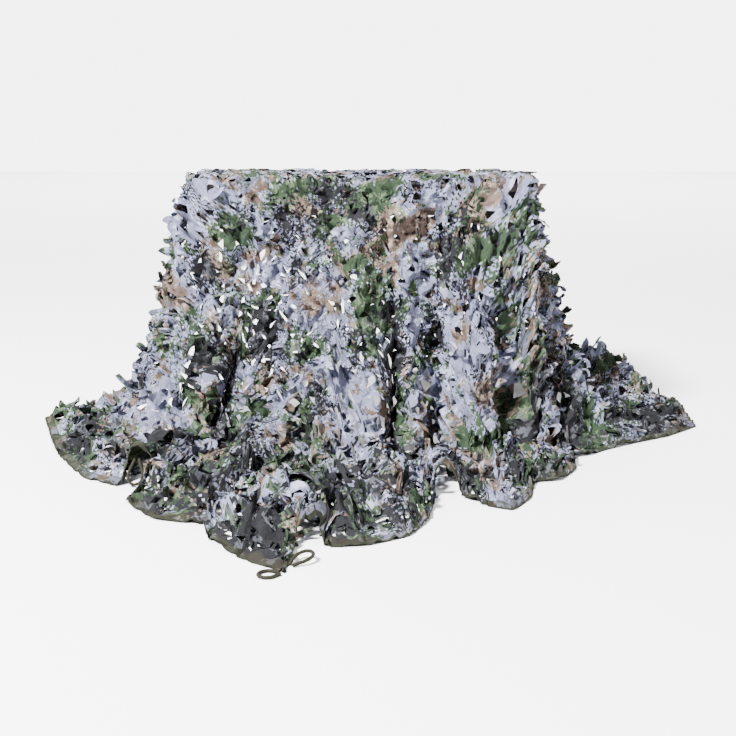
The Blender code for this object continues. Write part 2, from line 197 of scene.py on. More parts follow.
CREASES: tuple[tuple[Crease, ...], ...] = (
    (
        Crease(0.095, -0.380, 0.470, 0.012, 0.018, 0.004),
        Crease(0.111, -0.418, 0.340, 0.030, 0.022, 0.008),
        Crease(0.114, -0.470, 0.210, 0.050, 0.026, 0.012),
        Crease(0.107, -0.552, 0.080, 0.070, 0.034, 0.018),
        Crease(0.119, -0.676, 0.010, 0.070, 0.040, 0.034),
        Crease(0.150, -0.772, 0.000, 0.050, 0.040, 0.036),
    ),
    (
        Crease(0.060, -0.420, 0.330, 0.016, 0.018, 0.006),
        Crease(0.108, -0.400, 0.400, 0.022, 0.018, 0.006),
    ),
    (
        Crease(0.335, -0.381, 0.464, 0.008, 0.030, 0.004),
        Crease(0.413, -0.356, 0.362, 0.018, 0.030, 0.006),
        Crease(0.450, -0.395, 0.240, 0.034, 0.034, 0.008),
        Crease(0.445, -0.420, 0.150, 0.060, 0.044, 0.014),
        Crease(0.489, -0.476, 0.090, 0.070, 0.050, 0.018),
        Crease(0.562, -0.518, 0.027, 0.050, 0.040, 0.018),
        Crease(0.700, -0.450, 0.000, 0.030, 0.034, 0.014),
    ),
    (
        Crease(-0.700, -0.470, 0.030, 0.030, 0.030, 0.018),
        Crease(-0.600, -0.590, 0.070, 0.040, 0.034, 0.020),
        Crease(-0.499, -0.619, 0.091, 0.046, 0.034, 0.020),
        Crease(-0.400, -0.530, 0.110, 0.046, 0.030, 0.016),
        Crease(-0.364, -0.467, 0.180, 0.030, 0.024, 0.010),
        Crease(-0.350, -0.400, 0.280, 0.010, 0.020, 0.004),
    ),
    (
        Crease(-0.645, -0.640, 0.026, 0.026, 0.026, 0.018),
        Crease(-0.459, -0.788, 0.040, 0.034, 0.030, 0.022),
        Crease(-0.316, -0.830, 0.045, 0.034, 0.030, 0.022),
    ),
    (
        Crease(-0.277, -0.822, 0.031, 0.034, 0.028, 0.022),
        Crease(-0.225, -0.700, 0.027, 0.046, 0.032, 0.026),
        Crease(-0.161, -0.607, 0.053, 0.050, 0.034, 0.026),
        Crease(-0.089, -0.654, 0.053, 0.050, 0.034, 0.026),
        Crease(-0.024, -0.690, 0.025, 0.040, 0.030, 0.022),
        Crease(0.050, -0.760, 0.010, 0.030, 0.026, 0.018),
    ),
    (
        Crease(-0.400, -0.900, 0.000, 0.024, 0.024, 0.022),
        Crease(-0.316, -0.950, 0.000, 0.030, 0.026, 0.030),
        Crease(-0.239, -1.050, 0.033, 0.036, 0.028, 0.032),
        Crease(-0.182, -1.087, 0.018, 0.036, 0.028, 0.030),
    ),
    (
        Crease(-0.143, -1.105, 0.026, 0.036, 0.028, 0.030),
        Crease(-0.075, -1.069, 0.018, 0.036, 0.028, 0.034),
        Crease(0.005, -0.990, 0.008, 0.036, 0.028, 0.034),
        Crease(0.092, -0.959, 0.013, 0.026, 0.026, 0.024),
    ),
)


# How far beside a crease its ridges stand, and their width, in halves of the crease's own.
RIDGE_ASIDE = 2.1
RIDGE_WIDTH = 0.9


def creased(places: np.ndarray, creases: Sequence[Sequence[Crease]]) -> np.ndarray:
    """How far the creases push each place of the net outward, below 0 for inward.

    Args:
        places: the net's places in the table's frame.
        creases: the creases, each as its points in order.

    Returns:
        The push at each place.
    """
    push = np.zeros(len(places))
    for crease in creases:
        points = np.array(crease)
        nearest = np.full(len(places), np.inf)
        sizes = np.ones((len(places), 3))
        for start, end in zip(points[:-1], points[1:]):
            run = end[:3] - start[:3]
            share = np.clip((places - start[:3]) @ run / (run @ run), 0, 1)[:, None]
            away = np.linalg.norm(places - start[:3] - share * run, axis=1)
            near = away < nearest
            nearest = np.where(near, away, nearest)
            sizes[near] = (start[3:] + share * (end[3:] - start[3:]))[near]
        depth, half, ridge = sizes.T
        ratio = nearest / half
        beside = (ratio - RIDGE_ASIDE) / RIDGE_WIDTH
        push += ridge * np.exp(-(beside**2)) - depth * np.exp(-(ratio**2))
    return push


def through(knots: np.ndarray, values: np.ndarray, at: np.ndarray, looseness: float) -> np.ndarray:
    """Reads a curve through values at knots.

    Args:
        knots: where the values lie along the curve, rising.
        values: a row of values for each knot.
        at: the places to read.
        looseness: 0 for straight runs, and 1 for a full smooth curve.

    Returns:
        A row of values for each place.
    """
    slopes = looseness * np.gradient(values, knots, axis=0)
    i = np.clip(np.searchsorted(knots, at, side="right") - 1, 0, len(knots) - 2)
    span = (knots[i + 1] - knots[i])[:, None]
    t = (at[:, None] - knots[i][:, None]) / span
    return (
        (2 * t**3 - 3 * t**2 + 1) * values[i]
        + (t**3 - 2 * t**2 + t) * span * slopes[i]
        + (3 * t**2 - 2 * t**3) * values[i + 1]
        + (t**3 - t**2) * span * slopes[i + 1]
    )


def travelled(path: np.ndarray) -> np.ndarray:
    """How far along a path each of its points lies."""
    runs = np.linalg.norm(np.diff(path, axis=0), axis=1)
    return np.concatenate([[0.0], np.cumsum(runs)])


def heaped(places: np.ndarray, heaps: Sequence[Heap]) -> np.ndarray:
    """How high the heaps stand at each place seen from above.

    Args:
        places: an array with x and y in its first two columns.
        heaps: the heaps, of which the highest counts.

    Returns:
        A height for each place.
    """
    height = np.zeros(len(places))
    for heap in heaps:
        turn = math.radians(heap.turn)
        dx, dy = places[:, 0] - heap.x, places[:, 1] - heap.y
        along = (dx * math.cos(turn) + dy * math.sin(turn)) / (heap.length / 2)
        across = (dy * math.cos(turn) - dx * math.sin(turn)) / (heap.width / 2)
        height = np.maximum(height, heap.height * np.exp(-(along**2) - across**2))
    return height


def smooth(low: float, high: float, value: np.ndarray) -> np.ndarray:
    """Rises from 0 at low to 1 at high, with soft ends."""
    t = np.clip((value - low) / (high - low), 0, 1)
    return t * t * (3 - 2 * t)


def unit(vectors: np.ndarray) -> np.ndarray:
    """The vectors at length 1."""
    return vectors / np.maximum(np.linalg.norm(vectors, axis=-1, keepdims=True), 1e-9)


def slopes_of(
    carry: Callable[[np.ndarray], np.ndarray], cut: np.ndarray, step: float
) -> tuple[np.ndarray, np.ndarray]:
    """How a surface runs at points of the cut net.

    Args:
        carry: carries points of the cut net to their places.
        cut: the points.
        step: how far to each side the surface is read.

    Returns:
        Its travel for each metre along the net, and across it.
    """
    along, across = np.array([step, 0.0]), np.array([0.0, step])
    return (
        (carry(cut + along) - carry(cut - along)) / (2 * step),
        (carry(cut + across) - carry(cut - across)) / (2 * step),
    )


@dataclass(frozen=True)
class Ripples:
    """A smooth random height over the flat net, made of plane waves; it averages 0.

    Attributes:
        shortest: the shortest wave's length.
        longest: the longest wave's length.
        waves: how many waves are summed.
        seed: what the waves are drawn from.
    """

    shortest: float
    longest: float
    waves: int
    seed: int

    def at(self, flat: np.ndarray) -> np.ndarray:
        """Reads the height at flat points.

        Args:
            flat: the points.

        Returns:
            A height for each, mostly between -1 and 1.
        """
        draw = np.random.default_rng(self.seed)
        way = draw.uniform(0, 2 * math.pi, self.waves)
        length = self.shortest * (self.longest / self.shortest) ** draw.random(self.waves)
        start = draw.uniform(0, 2 * math.pi, self.waves)
        total = np.zeros(flat.shape[:-1])
        for turn, wave, phase in zip(way, length, start):
            run = flat[..., 0] * math.cos(turn) + flat[..., 1] * math.sin(turn)
            total += np.sin(2 * math.pi * run / wave + phase)
        return total / math.sqrt(self.waves)


@dataclass
class DrapedNet:
    """The surface in which the net hangs: carries flat points of it to their places.

    The net is read as columns that run from the table's edge out to the hem, side by side
    round the table. Each falls to the floor and runs along it to the hem.

    Attributes:
        table: the middle of the table's top in the model's frame, at its upper face.
        table_half: half the table's width and depth.
        long: the net's length as it is cut.
        short: its width.
        middle: where its middle lies over the table's.
        turn: how far it is turned on the table, in degrees.
        cloth_clear: how far it lies off the table's top and edges.
        edge_clear: how far out from the table's edge its turn downward is.
        edge_power: how square that turn's outline is, seen from above.
        edge_soft: how far to each side of that turn it bends.
        straight_down: how far the folds fall straight from the edge, and not slantwise.
        looseness: how smooth the hem's course is, from 0 to 1.
        shoulder_out: how far a column's upper bend stands out, as a share of stand.
        shoulder_down: how far down that bend is, as a share of the fall.
        shin_out: how far its lower bend stands out, as a share of stand.
        shin_free: how much that bend is raised where the hem hangs free.
        stand_most: the furthest out that a column's foot may be, as a share of its length.
        free_from: the height from which the hem hangs free.
        lift_run: how far in from the hem its lift reaches.
        heap_top: the height up to which the floor's heaps reach.
        heap_hem: how far in from the hem the heaps die away.
        columns_per_metre: how many columns a metre of hem has.
        rows: how many points a column has.
        seek_reach: how many columns to each side are searched for a point's own.
        seek_steps: how many times that stretch is halved.
        floor_clear: how far the lowest points lie off the floor.
        top_reach: how far down from the table's upper face its top is kept clear.
        rise_from: the height over the table from which the net is pressed down.
        rise_soft: how far above that it may still rise.
        slope_step: how far to each side the surface is read for its slopes.
    """

    table: Vector
    table_half: tuple[float, float]
    long: float = 3.0
    short: float = 2.0
    middle: tuple[float, float] = (0.13, -0.30)
    turn: float = 38.0
    cloth_clear: float = 0.0025
    edge_clear: float = 0.018
    edge_power: float = 24
    edge_soft: float = 0.024
    straight_down: float = 0.25
    looseness: float = 0.4
    shoulder_out: float = 0.17
    shoulder_down: float = 0.47
    shin_out: float = 0.47
    shin_free: float = 0.30
    stand_most: float = 0.92
    free_from: float = 0.15
    lift_run: float = 0.30
    heap_top: float = 0.25
    heap_hem: float = 0.12
    columns_per_metre: int = 80
    rows: int = 120
    seek_reach: float = 150.0
    seek_steps: int = 26
    floor_clear: float = 0.0018
    top_reach: float = 0.03
    rise_from: float = 0.016
    rise_soft: float = 0.017
    slope_step: float = 0.007

    def __post_init__(self) -> None:
        """Hangs the columns."""
        self.level = self.table.z + self.cloth_clear
        self.edge_half = np.array(self.table_half) + self.edge_clear
        half_long, half_short = self.long / 2, self.short / 2
        signs = np.array([(-1, 1), (-1, -1), (1, -1), (1, 1)])
        corners = self.laid(signs * (half_long, half_short))
        rows = (
            (LEFT_CORNER, *FRONT_LEFT, FRONT_CORNER),
            (FRONT_CORNER, *FRONT_RIGHT, RIGHT_CORNER),
            (RIGHT_CORNER, *BACK_RIGHT, BACK_CORNER),
            (BACK_CORNER, *BACK_LEFT, LEFT_CORNER),
        )
        hems, flats = [], []
        for side, (side_rows, cut) in enumerate(zip(rows, (self.short, self.long) * 2)):
            values = np.array(side_rows)
            knots = travelled(values[:, :3])
            knots *= cut / knots[-1]
            along = np.linspace(0, cut, int(cut * self.columns_per_metre), endpoint=False)
            hems.append(through(knots, values, along, self.looseness))
            start, end = corners[side], corners[(side + 1) % 4]
            flats.append(start + (end - start) * (along / cut)[:, None])
        self.hem = np.concatenate(flats)
        self.root = self.roots(self.hem)
        self.columns = self.hang(np.concatenate(hems))

    def laid(self, cut: np.ndarray) -> np.ndarray:
        """Lays points of the cut net flat over the table.

        Args:
            cut: the points, from the net's middle.

        Returns:
            Their flat places, with the table's middle at (0, 0).
        """
        turn = math.radians(self.turn)
        x, y = cut[..., 0], cut[..., 1]
        return np.stack(
            [
                self.middle[0] + x * math.cos(turn) - y * math.sin(turn),
                self.middle[1] + x * math.sin(turn) + y * math.cos(turn),
            ],
            axis=-1,
        )

    def on_edge(self, flat: np.ndarray) -> np.ndarray:
        """Where the net leaves the table's top, in the directions of flat points.

        Args:
            flat: the points.

        Returns:
            A point on the edge for each.
        """
        way = unit(flat)
        squared = np.sum((np.abs(way) / self.edge_half) ** self.edge_power, axis=1)
        return way / squared[:, None] ** (1 / self.edge_power)

    def roots(self, flat: np.ndarray) -> np.ndarray:
        """Where the folds that run out to flat points of the hem leave the table's top.

        Args:
            flat: the points of the hem.

        Returns:
            A point on the edge for each.
        """
        straight = np.clip(flat, -self.edge_half, self.edge_half)
        share = self.straight_down
        return self.on_edge(share * straight + (1 - share) * self.on_edge(flat))

    def hang(self, hem: np.ndarray) -> np.ndarray:
        """The columns of places that end at the hem.

        Args:
            hem: a row for each column, in the terms of a HemRow.

        Returns:
            An array of places, with a line for each column and its rows along it.
        """
        start = self.root
        run = hem[:, :2] - start
        length = np.linalg.norm(run, axis=1)[:, None]
        height, lift, stand = self.level, hem[:, 2:3], hem[:, 3:4]
        free = np.clip(lift / self.free_from, 0, 1)
        low = free * lift
        foot = np.minimum(stand, self.stand_most * length) * (1 - free) + length * free
        t = np.linspace(0, 1, self.rows)[None, :]
        first, second, third, last = (1 - t) ** 3, 3 * (1 - t) ** 2 * t, 3 * (1 - t) * t**2, t**3
        out = second * self.shoulder_out * stand + third * self.shin_out * stand + last * foot
        down = (
            first * height
            + second * (height - self.shoulder_down * (height - low))
            + third * (low + self.shin_free * free * (height - low))
            + last * low
        )
        out = np.hstack([out, length])
        down = np.hstack([down, low])
        steps = np.hypot(np.diff(out), np.diff(down))
        path = np.hstack([np.zeros((len(out), 1)), np.cumsum(steps, axis=1)])
        shares = np.linspace(0, 1, self.rows)
        columns = np.empty((len(out), self.rows, 3))
        for i, whole in enumerate(path[:, -1]):
            at = shares * whole
            outward = np.interp(at, path[i], out[i])
            near_hem = np.clip(1 - (whole - at) / self.lift_run, 0, 1)
            raised = (hem[i, 2] - low[i]) * near_hem**2 * (3 - 2 * near_hem)
            columns[i, :, :2] = start[i] + run[i] / length[i] * outward[:, None]
            columns[i, :, 2] = np.interp(at, path[i], down[i]) + raised
            fall = np.clip(1 - columns[i, :, 2] / self.heap_top, 0, 1)
            inside = np.clip((whole - at) / self.heap_hem, 0, 1)
            columns[i, :, 2] += heaped(columns[i, :, :2], FLOOR_HEAPS) * fall * inside
        columns[:, :, 2] = np.maximum(columns[:, :, 2], 0.0)
        return columns

    def between(self, values: np.ndarray, column: np.ndarray) -> np.ndarray:
        """Values of the columns, read between one column and the next.

        Args:
            values: a row of values for each column.
            column: which columns to read, with fractions.

        Returns:
            A row of values for each read.
        """
        i = np.floor(column).astype(int)
        part = (column - i)[:, None]
        return values[i % len(values)] * (1 - part) + values[(i + 1) % len(values)] * part

    def column_of(self, flat: np.ndarray) -> np.ndarray:
        """The column on which each flat point lies, by halving the stretch that it is in.

        Args:
            flat: the points.

        Returns:
            The columns' numbers, with fractions.
        """
        angles = np.unwrap(np.arctan2(self.hem[:, 1], self.hem[:, 0]))
        turn = np.arctan2(flat[:, 1], flat[:, 0])
        turn = angles[0] + (turn - angles[0]) % (2 * math.pi)
        middle = np.interp(turn, angles, np.arange(len(angles)))
        low, high = middle - self.seek_reach, middle + self.seek_reach
        for _ in range(self.seek_steps):
            middle = (low + high) / 2
            root = self.between(self.root, middle)
            fold, out = self.between(self.hem, middle) - root, flat - root
            before = fold[:, 0] * out[:, 1] - fold[:, 1] * out[:, 0] > 0
            low = np.where(before, middle, low)
            high = np.where(before, high, middle)
        return middle

    def hung(self, flat: np.ndarray) -> np.ndarray:
        """The hanging places of flat points that lie past the table's edge.

        Args:
            flat: the points.

        Returns:
            Their places, in the table's frame.
        """
        column = self.column_of(flat)
        root, hem = self.between(self.root, column), self.between(self.hem, column)
        reach = np.linalg.norm(flat - root, axis=1) / np.linalg.norm(hem - root, axis=1)
        row = np.clip(reach, 0, 1) * (self.rows - 1)
        j = np.clip(row.astype(int), 0, self.rows - 2)
        part = (row - j)[:, None]
        i = np.floor(column).astype(int)
        aside = (column - i)[:, None]
        i, beside = i % len(self.root), (i + 1) % len(self.root)
        near = self.columns[i, j] * (1 - part) + self.columns[i, j + 1] * part
        far = self.columns[beside, j] * (1 - part) + self.columns[beside, j + 1] * part
        return near * (1 - aside) + far * aside

    def on_top(self, flat: np.ndarray) -> np.ndarray:
        """The places of flat points that lie on the table's top."""
        return np.column_stack([flat, self.level + heaped(flat, TOP_FOLDS)])

    def place(self, cut: np.ndarray) -> np.ndarray:
        """Carries points of the cut net to where they hang.

        Args:
            cut: an array of points, counted from the net's middle along and across it.

        Returns:
            Their places, in the table's frame.
        """
        flat = self.laid(cut)
        edge = self.on_edge(flat)
        way = unit(flat)
        past = np.linalg.norm(flat, axis=1) - np.linalg.norm(edge, axis=1)
        places = self.on_top(flat)
        out = past > 0
        places[out] = self.hung(flat[out])
        soft = self.edge_soft
        rim = np.abs(past) < soft
        before = self.on_top(edge[rim] - soft * way[rim])
        after = self.hung(edge[rim] + soft * way[rim])
        turn = self.on_top(edge[rim])
        t = ((past[rim] + soft) / (2 * soft))[:, None]
        places[rim] = (1 - t) ** 2 * before + 2 * t * (1 - t) * turn + t**2 * after
        return places

    def slopes(self, cut: np.ndarray) -> tuple[np.ndarray, np.ndarray]:
        """How the surface runs along and across the cut net at each point."""
        return slopes_of(self.place, cut, self.slope_step)

    def kept_clear(self, places: np.ndarray) -> np.ndarray:
        """Moves places off the floor and out of the table's top, and into the model's frame.

        A place in the table's top goes up onto it, or out past the edge if that is nearer.

        Args:
            places: the places, in the table's frame.

        Returns:
            Them in the model's frame, with those that stand high over the table pressed down.
        """
        places = places.copy()
        places[:, 2] = np.maximum(places[:, 2], self.floor_clear)
        half = np.array(self.table_half) + self.cloth_clear
        inside = half - np.abs(places[:, :2])
        depth, nearest = inside.min(axis=1), inside.argmin(axis=1)
        over = (depth > 0) & (places[:, 2] > self.table.z - self.top_reach)
        lift = over & (places[:, 2] > self.table.z - depth)
        for axis in range(2):
            aside = over & ~lift & (nearest == axis)
            places[aside, axis] = np.copysign(half[axis], places[aside, axis])
        places[lift, 2] = np.maximum(places[lift, 2], self.level)
        high = np.maximum(places[:, 2] - self.table.z - self.rise_from, 0.0)
        places[:, 2] -= high - self.rise_soft * np.tanh(high / self.rise_soft)
        places[:, :2] += (self.table.x, self.table.y)
        return places


# ---------------------------------------------------------------- finishes


class Value(Enum):
    """The kinds of socket that the node groups have."""

    NUMBER = "NodeSocketFloat"
    VECTOR = "NodeSocketVector"


class MixSocket(IntEnum):
    """Which of a Mix node's sockets take and give colours."""

    SHARE = 0
    FIRST = 6
    SECOND = 7
    RESULT = 2


class Nodes:
    """A node tree with short calls to add and link nodes to it."""

    def __init__(self, tree: bpy.types.NodeTree) -> None:
        """Takes the tree and empties it."""
        self.tree = tree
        tree.nodes.clear()

    def add(self, kind: str, **settings: object) -> bpy.types.Node:
        """Adds a node.

        Args:
            kind: the node's type, without its ShaderNode or NodeGroup start.
            settings: properties to set on it.

        Returns:
            The node.
        """
        name = kind if kind.startswith("NodeGroup") else "ShaderNode" + kind
        node = self.tree.nodes.new(name)
        for key, value in settings.items():
            setattr(node, key, value)
        return node

    def link(self, source: bpy.types.NodeSocket, target: bpy.types.NodeSocket) -> None:
        """Links one socket to another."""
        self.tree.links.new(source, target)

    def put(self, socket: bpy.types.NodeSocket, value: object) -> None:
        """Feeds a socket with a number, a colour or another socket.

        Args:
            socket: the socket that is fed.
            value: what it is fed with.
        """
        if isinstance(value, bpy.types.NodeSocket):
            self.link(value, socket)
        elif isinstance(value, tuple) and len(value) == 3 and socket.type == "RGBA":
            socket.default_value = (*value, 1.0)
        else:
            socket.default_value = value

    def worked_out(self, kind: str, operation: str, values: Sequence[object]) -> bpy.types.NodeSocket:
        """The result of a node that works out a value.

        Args:
            kind: the node's type.
            operation: what it works out.
            values: its inputs in order, as values or sockets.

        Returns:
            The socket with the result.
        """
        node = self.add(kind, operation=operation)
        for socket, value in zip(node.inputs, values):
            self.put(socket, value)
        return node.outputs[0]

    def math(self, operation: str, *values: object) -> bpy.types.NodeSocket:
        """A Math node's result."""
        return self.worked_out("Math", operation, values)

    def vector(self, operation: str, *values: object) -> bpy.types.NodeSocket:
        """A Vector Math node's result."""
        return self.worked_out("VectorMath", operation, values)

    def mixed(self, share: object, first: object, second: object) -> bpy.types.NodeSocket:
        """Two colours, mixed by a share of the second.

        Args:
            share: the share of the second, from 0 to 1.
            first: a colour or a socket.
            second: the other.

        Returns:
            The socket with the mixed colour.
        """
        node = self.add("Mix", data_type="RGBA")
        self.put(node.inputs[MixSocket.SHARE], share)
        self.put(node.inputs[MixSocket.FIRST], first)
        self.put(node.inputs[MixSocket.SECOND], second)
        return node.outputs[MixSocket.RESULT]

    def ranged(self, value: object, low: float, high: float) -> bpy.types.NodeSocket:
        """Turns a value to 0 at low and past it, and 1 at high and past it.

        Args:
            value: the number or socket that is read.
            low: where the result is 0.
            high: where it is 1.

        Returns:
            The socket with the result.
        """
        node = self.add("MapRange")
        self.put(node.inputs["Value"], value)
        node.inputs["From Min"].default_value = low
        node.inputs["From Max"].default_value = high
        return node.outputs[0]

    def noise(self, vector: object, scale: float, detail: float = 2.0) -> bpy.types.NodeSocket:
        """A smooth noise between 0 and 1.

        Args:
            vector: the place at which it is read.
            scale: how many lumps a metre has.
            detail: how many finer layers it has.

        Returns:
            The socket with the noise.
        """
        node = self.add("TexNoise")
        self.put(node.inputs["Vector"], vector)
        node.inputs["Scale"].default_value = scale
        node.inputs["Detail"].default_value = detail
        return node.outputs["Fac"]

    def group(self, tree: bpy.types.NodeTree, **values: object) -> bpy.types.Node:
        """Places a node group, with values for its inputs by name.

        Args:
            tree: the group.
            values: its inputs, by name.

        Returns:
            The group's node.
        """
        node = self.add("Group", node_tree=tree)
        for key, value in values.items():
            self.put(node.inputs[key], value)
        return node


def node_group(
    name: str, takes: dict[str, Value], gives: dict[str, Value]
) -> tuple[Nodes, bpy.types.Node, bpy.types.Node]:
    """Starts a shader node group.

    Args:
        name: the group's name.
        takes: its inputs and their kinds.
        gives: its outputs and their kinds.

    Returns:
        Its nodes, its input node and its output node.
    """
    tree = bpy.data.node_groups.new(name, "ShaderNodeTree")
    for key, value in takes.items():
        tree.interface.new_socket(name=key, in_out="INPUT", socket_type=value.value)
    for key, value in gives.items():
        tree.interface.new_socket(name=key, in_out="OUTPUT", socket_type=value.value)
    nodes = Nodes(tree)
    return nodes, nodes.add("NodeGroupInput"), nodes.add("NodeGroupOutput")


def patch_group() -> bpy.types.NodeTree:
    """Square-edged patches of print: a mask over the cloth, in steps of one printed square.

    Returns:
        The group.
    """
    nodes, taken, given = node_group(
        "printed patches",
        {
            "Place": Value.VECTOR,
            "Square": Value.NUMBER,
            "Scale": Value.NUMBER,
            "Cover": Value.NUMBER,
            "Scatter": Value.NUMBER,
            "Shift": Value.NUMBER,
        },
        {"Mask": Value.NUMBER},
    )
    take = taken.outputs
    size = nodes.add("CombineXYZ")
    for socket in size.inputs:
        nodes.link(take["Square"], socket)
    snapped = nodes.vector("SNAP", take["Place"], size.outputs[0])
    shift = nodes.add("CombineXYZ")
    nodes.link(take["Shift"], shift.inputs[2])
    moved = nodes.vector("ADD", snapped, shift.outputs[0])
    patches = nodes.add("TexNoise")
    nodes.link(moved, patches.inputs["Vector"])
    nodes.link(take["Scale"], patches.inputs["Scale"])
    patches.inputs["Detail"].default_value = 3.0
    patches.inputs["Roughness"].default_value = 0.55
    speck = nodes.add("TexWhiteNoise")
    nodes.link(moved, speck.inputs["Vector"])
    loose = nodes.math("MULTIPLY", nodes.math("SUBTRACT", speck.outputs["Value"], 0.5), take["Scatter"])
    height = nodes.math("ADD", patches.outputs["Fac"], loose)
    level = nodes.math("SUBTRACT", 1.0, take["Cover"])
    nodes.link(nodes.math("GREATER_THAN", height, level), given.inputs["Mask"])
    return nodes.tree


def weave_group() -> bpy.types.NodeTree:
    """A plain weave: a height that rises over each thread, along and across the cloth.

    Returns:
        The group.
    """
    nodes, taken, given = node_group(
        "plain weave",
        {"Place": Value.VECTOR, "Threads": Value.NUMBER},
        {"Height": Value.NUMBER},
    )
    take = taken.outputs
    apart = nodes.add("SeparateXYZ")
    turns = nodes.math("MULTIPLY", take["Threads"], math.pi)
    nodes.link(take["Place"], apart.inputs[0])
    warp = nodes.math("SINE", nodes.math("MULTIPLY", apart.outputs[0], turns))
    weft = nodes.math("SINE", nodes.math("MULTIPLY", apart.outputs[1], turns))
    over = nodes.math("MULTIPLY", warp, weft)
    nodes.link(nodes.math("MULTIPLY_ADD", over, 0.5, 0.5), given.inputs["Height"])
    return nodes.tree


def crease_group() -> bpy.types.NodeTree:
    """Soft creases and dents of handled cloth, as a height.

    Returns:
        The group.
    """
    nodes, taken, given = node_group(
        "handling creases", {"Place": Value.VECTOR}, {"Height": Value.NUMBER}
    )
    place = taken.outputs["Place"]
    broad = nodes.noise(place, scale=38.0, detail=3.0)
    fine = nodes.add("TexVoronoi", feature="DISTANCE_TO_EDGE")
    nodes.link(place, fine.inputs["Vector"])
    fine.inputs["Scale"].default_value = 55.0
    folded = nodes.ranged(fine.outputs["Distance"], low=0.0, high=0.25)
    nodes.link(nodes.math("MULTIPLY_ADD", folded, 0.25, broad), given.inputs["Height"])
    return nodes.tree


class PaintedShadePlace(NamedTuple):
    """A place on the cut net, from its middle, where the dark patches gather as painted shade.

    half is about half its width.
    """

    x: float
    y: float
    half: float


# Painted shade: the dark patches are gathered into these places, in the net's creases and hollows and in
# its low cloth near the hem.
PAINTED_SHADE_PLACES = (
    PaintedShadePlace(-0.945, 0.222, 0.06),
    PaintedShadePlace(-0.690, 0.036, 0.06),
    PaintedShadePlace(-0.636, -0.184, 0.05),
    PaintedShadePlace(-0.239, -0.249, 0.07),
    PaintedShadePlace(-0.250, -0.340, 0.04),
    PaintedShadePlace(-0.310, -0.420, 0.04),
    PaintedShadePlace(-0.360, -0.500, 0.05),
    PaintedShadePlace(-0.420, -0.590, 0.06),
    PaintedShadePlace(-0.390, -0.690, 0.10),
    PaintedShadePlace(0.409, -0.738, 0.08),
    PaintedShadePlace(-0.790, -0.576, 0.07),
    PaintedShadePlace(-1.340, 0.040, 0.10),
    PaintedShadePlace(-1.420, 0.560, 0.14),
    PaintedShadePlace(-1.380, -0.420, 0.15),
    PaintedShadePlace(-1.360, -0.800, 0.16),
    PaintedShadePlace(-1.060, -0.840, 0.16),
    PaintedShadePlace(-0.740, -0.820, 0.14),
    PaintedShadePlace(-1.100, -0.420, 0.12),
    PaintedShadePlace(-1.060, -0.120, 0.07),
    PaintedShadePlace(-0.080, -0.930, 0.08),
    PaintedShadePlace(0.200, -0.900, 0.08),
    PaintedShadePlace(0.480, -0.920, 0.08),
    PaintedShadePlace(0.760, -0.910, 0.12),
    PaintedShadePlace(1.280, -0.910, 0.14),
)


def painted_shade_group(long: float, short: float) -> bpy.types.NodeTree:
    """Soft round places on the cut net where the dark patches gather as painted shade.

    Args:
        long: the net's length.
        short: its width.

    Returns:
        The node group, whose mask is 1 in their middles.
    """
    nodes, taken, given = node_group("painted shade places", {"Place": Value.VECTOR}, {"Mask": Value.NUMBER})
    ends, full = 1.5, 0.3
    most: object = 0.0
    for row in PAINTED_SHADE_PLACES:
        middle = (row.x + long / 2, row.y + short / 2, 0.0)
        apart = nodes.add("VectorMath", operation="DISTANCE")
        nodes.link(taken.outputs["Place"], apart.inputs[0])
        apart.inputs[1].default_value = middle
        near = nodes.ranged(apart.outputs["Value"], low=ends * row.half, high=full * row.half)
        most = nodes.math("MAXIMUM", most, near)
    nodes.link(most, given.inputs["Mask"])
    return nodes.tree


class NodeGroups:
    """The node groups that the finishes share."""

    def __init__(self, long: float, short: float) -> None:
        """Builds each group once.

        Args:
            long: the net's length.
            short: its width.
        """
        self.patches = patch_group()
        # The mask of the painted shade in the net's creases, hollows and low cloth.
        self.dark = painted_shade_group(long, short)
        self.weave = weave_group()
        self.creases = crease_group()


def blank_material(name: str, colour: Colour) -> tuple[bpy.types.Material, Nodes]:
    """A new material with an empty node tree.

    Args:
        name: its name.
        colour: its plain colour in a viewport.

    Returns:
        The material and its nodes.
    """
    material = bpy.data.materials.new(name)
    material.use_nodes = True
    material.diffuse_color = (*colour, 1.0)
    return material, Nodes(material.node_tree)


def surface(
    nodes: Nodes, colour: object, roughness: object, height: object, depth: float, gloss: float = 0.5
) -> None:
    """Ends a material in a Principled shader with a bump.

    Args:
        nodes: the material's nodes.
        colour: the base colour, or the socket that gives it.
        roughness: the roughness, or the socket that gives it.
        height: the socket that gives the bump's height, or None.
        depth: how deep that bump is, in metres.
        gloss: the strength of the mirror reflection, 0.5 for most solids.
    """
    shader = nodes.add("BsdfPrincipled")
    nodes.put(shader.inputs["Base Color"], colour)
    nodes.put(shader.inputs["Roughness"], roughness)
    shader.inputs["Specular IOR Level"].default_value = gloss
    if height is not None:
        bump = nodes.add("Bump")
        bump.inputs["Distance"].default_value = depth
        nodes.link(height, bump.inputs["Height"])
        nodes.link(bump.outputs[0], shader.inputs["Normal"])
    out = nodes.add("OutputMaterial")
    nodes.link(shader.outputs[0], out.inputs["Surface"])


class PrintColour(NamedTuple):
    """A colour of the print and how its patches lie.

    fleck is the colour of the small flecks inside its patches, cover how readily the patches
    spread, scale how many fit in a metre, scatter how far their edges break up into single
    squares, and gathered how much more they spread in the places of painted shade.
    """

    name: str
    colour: Colour
    fleck: Colour
    cover: float
    scale: float
    scatter: float
    gathered: float


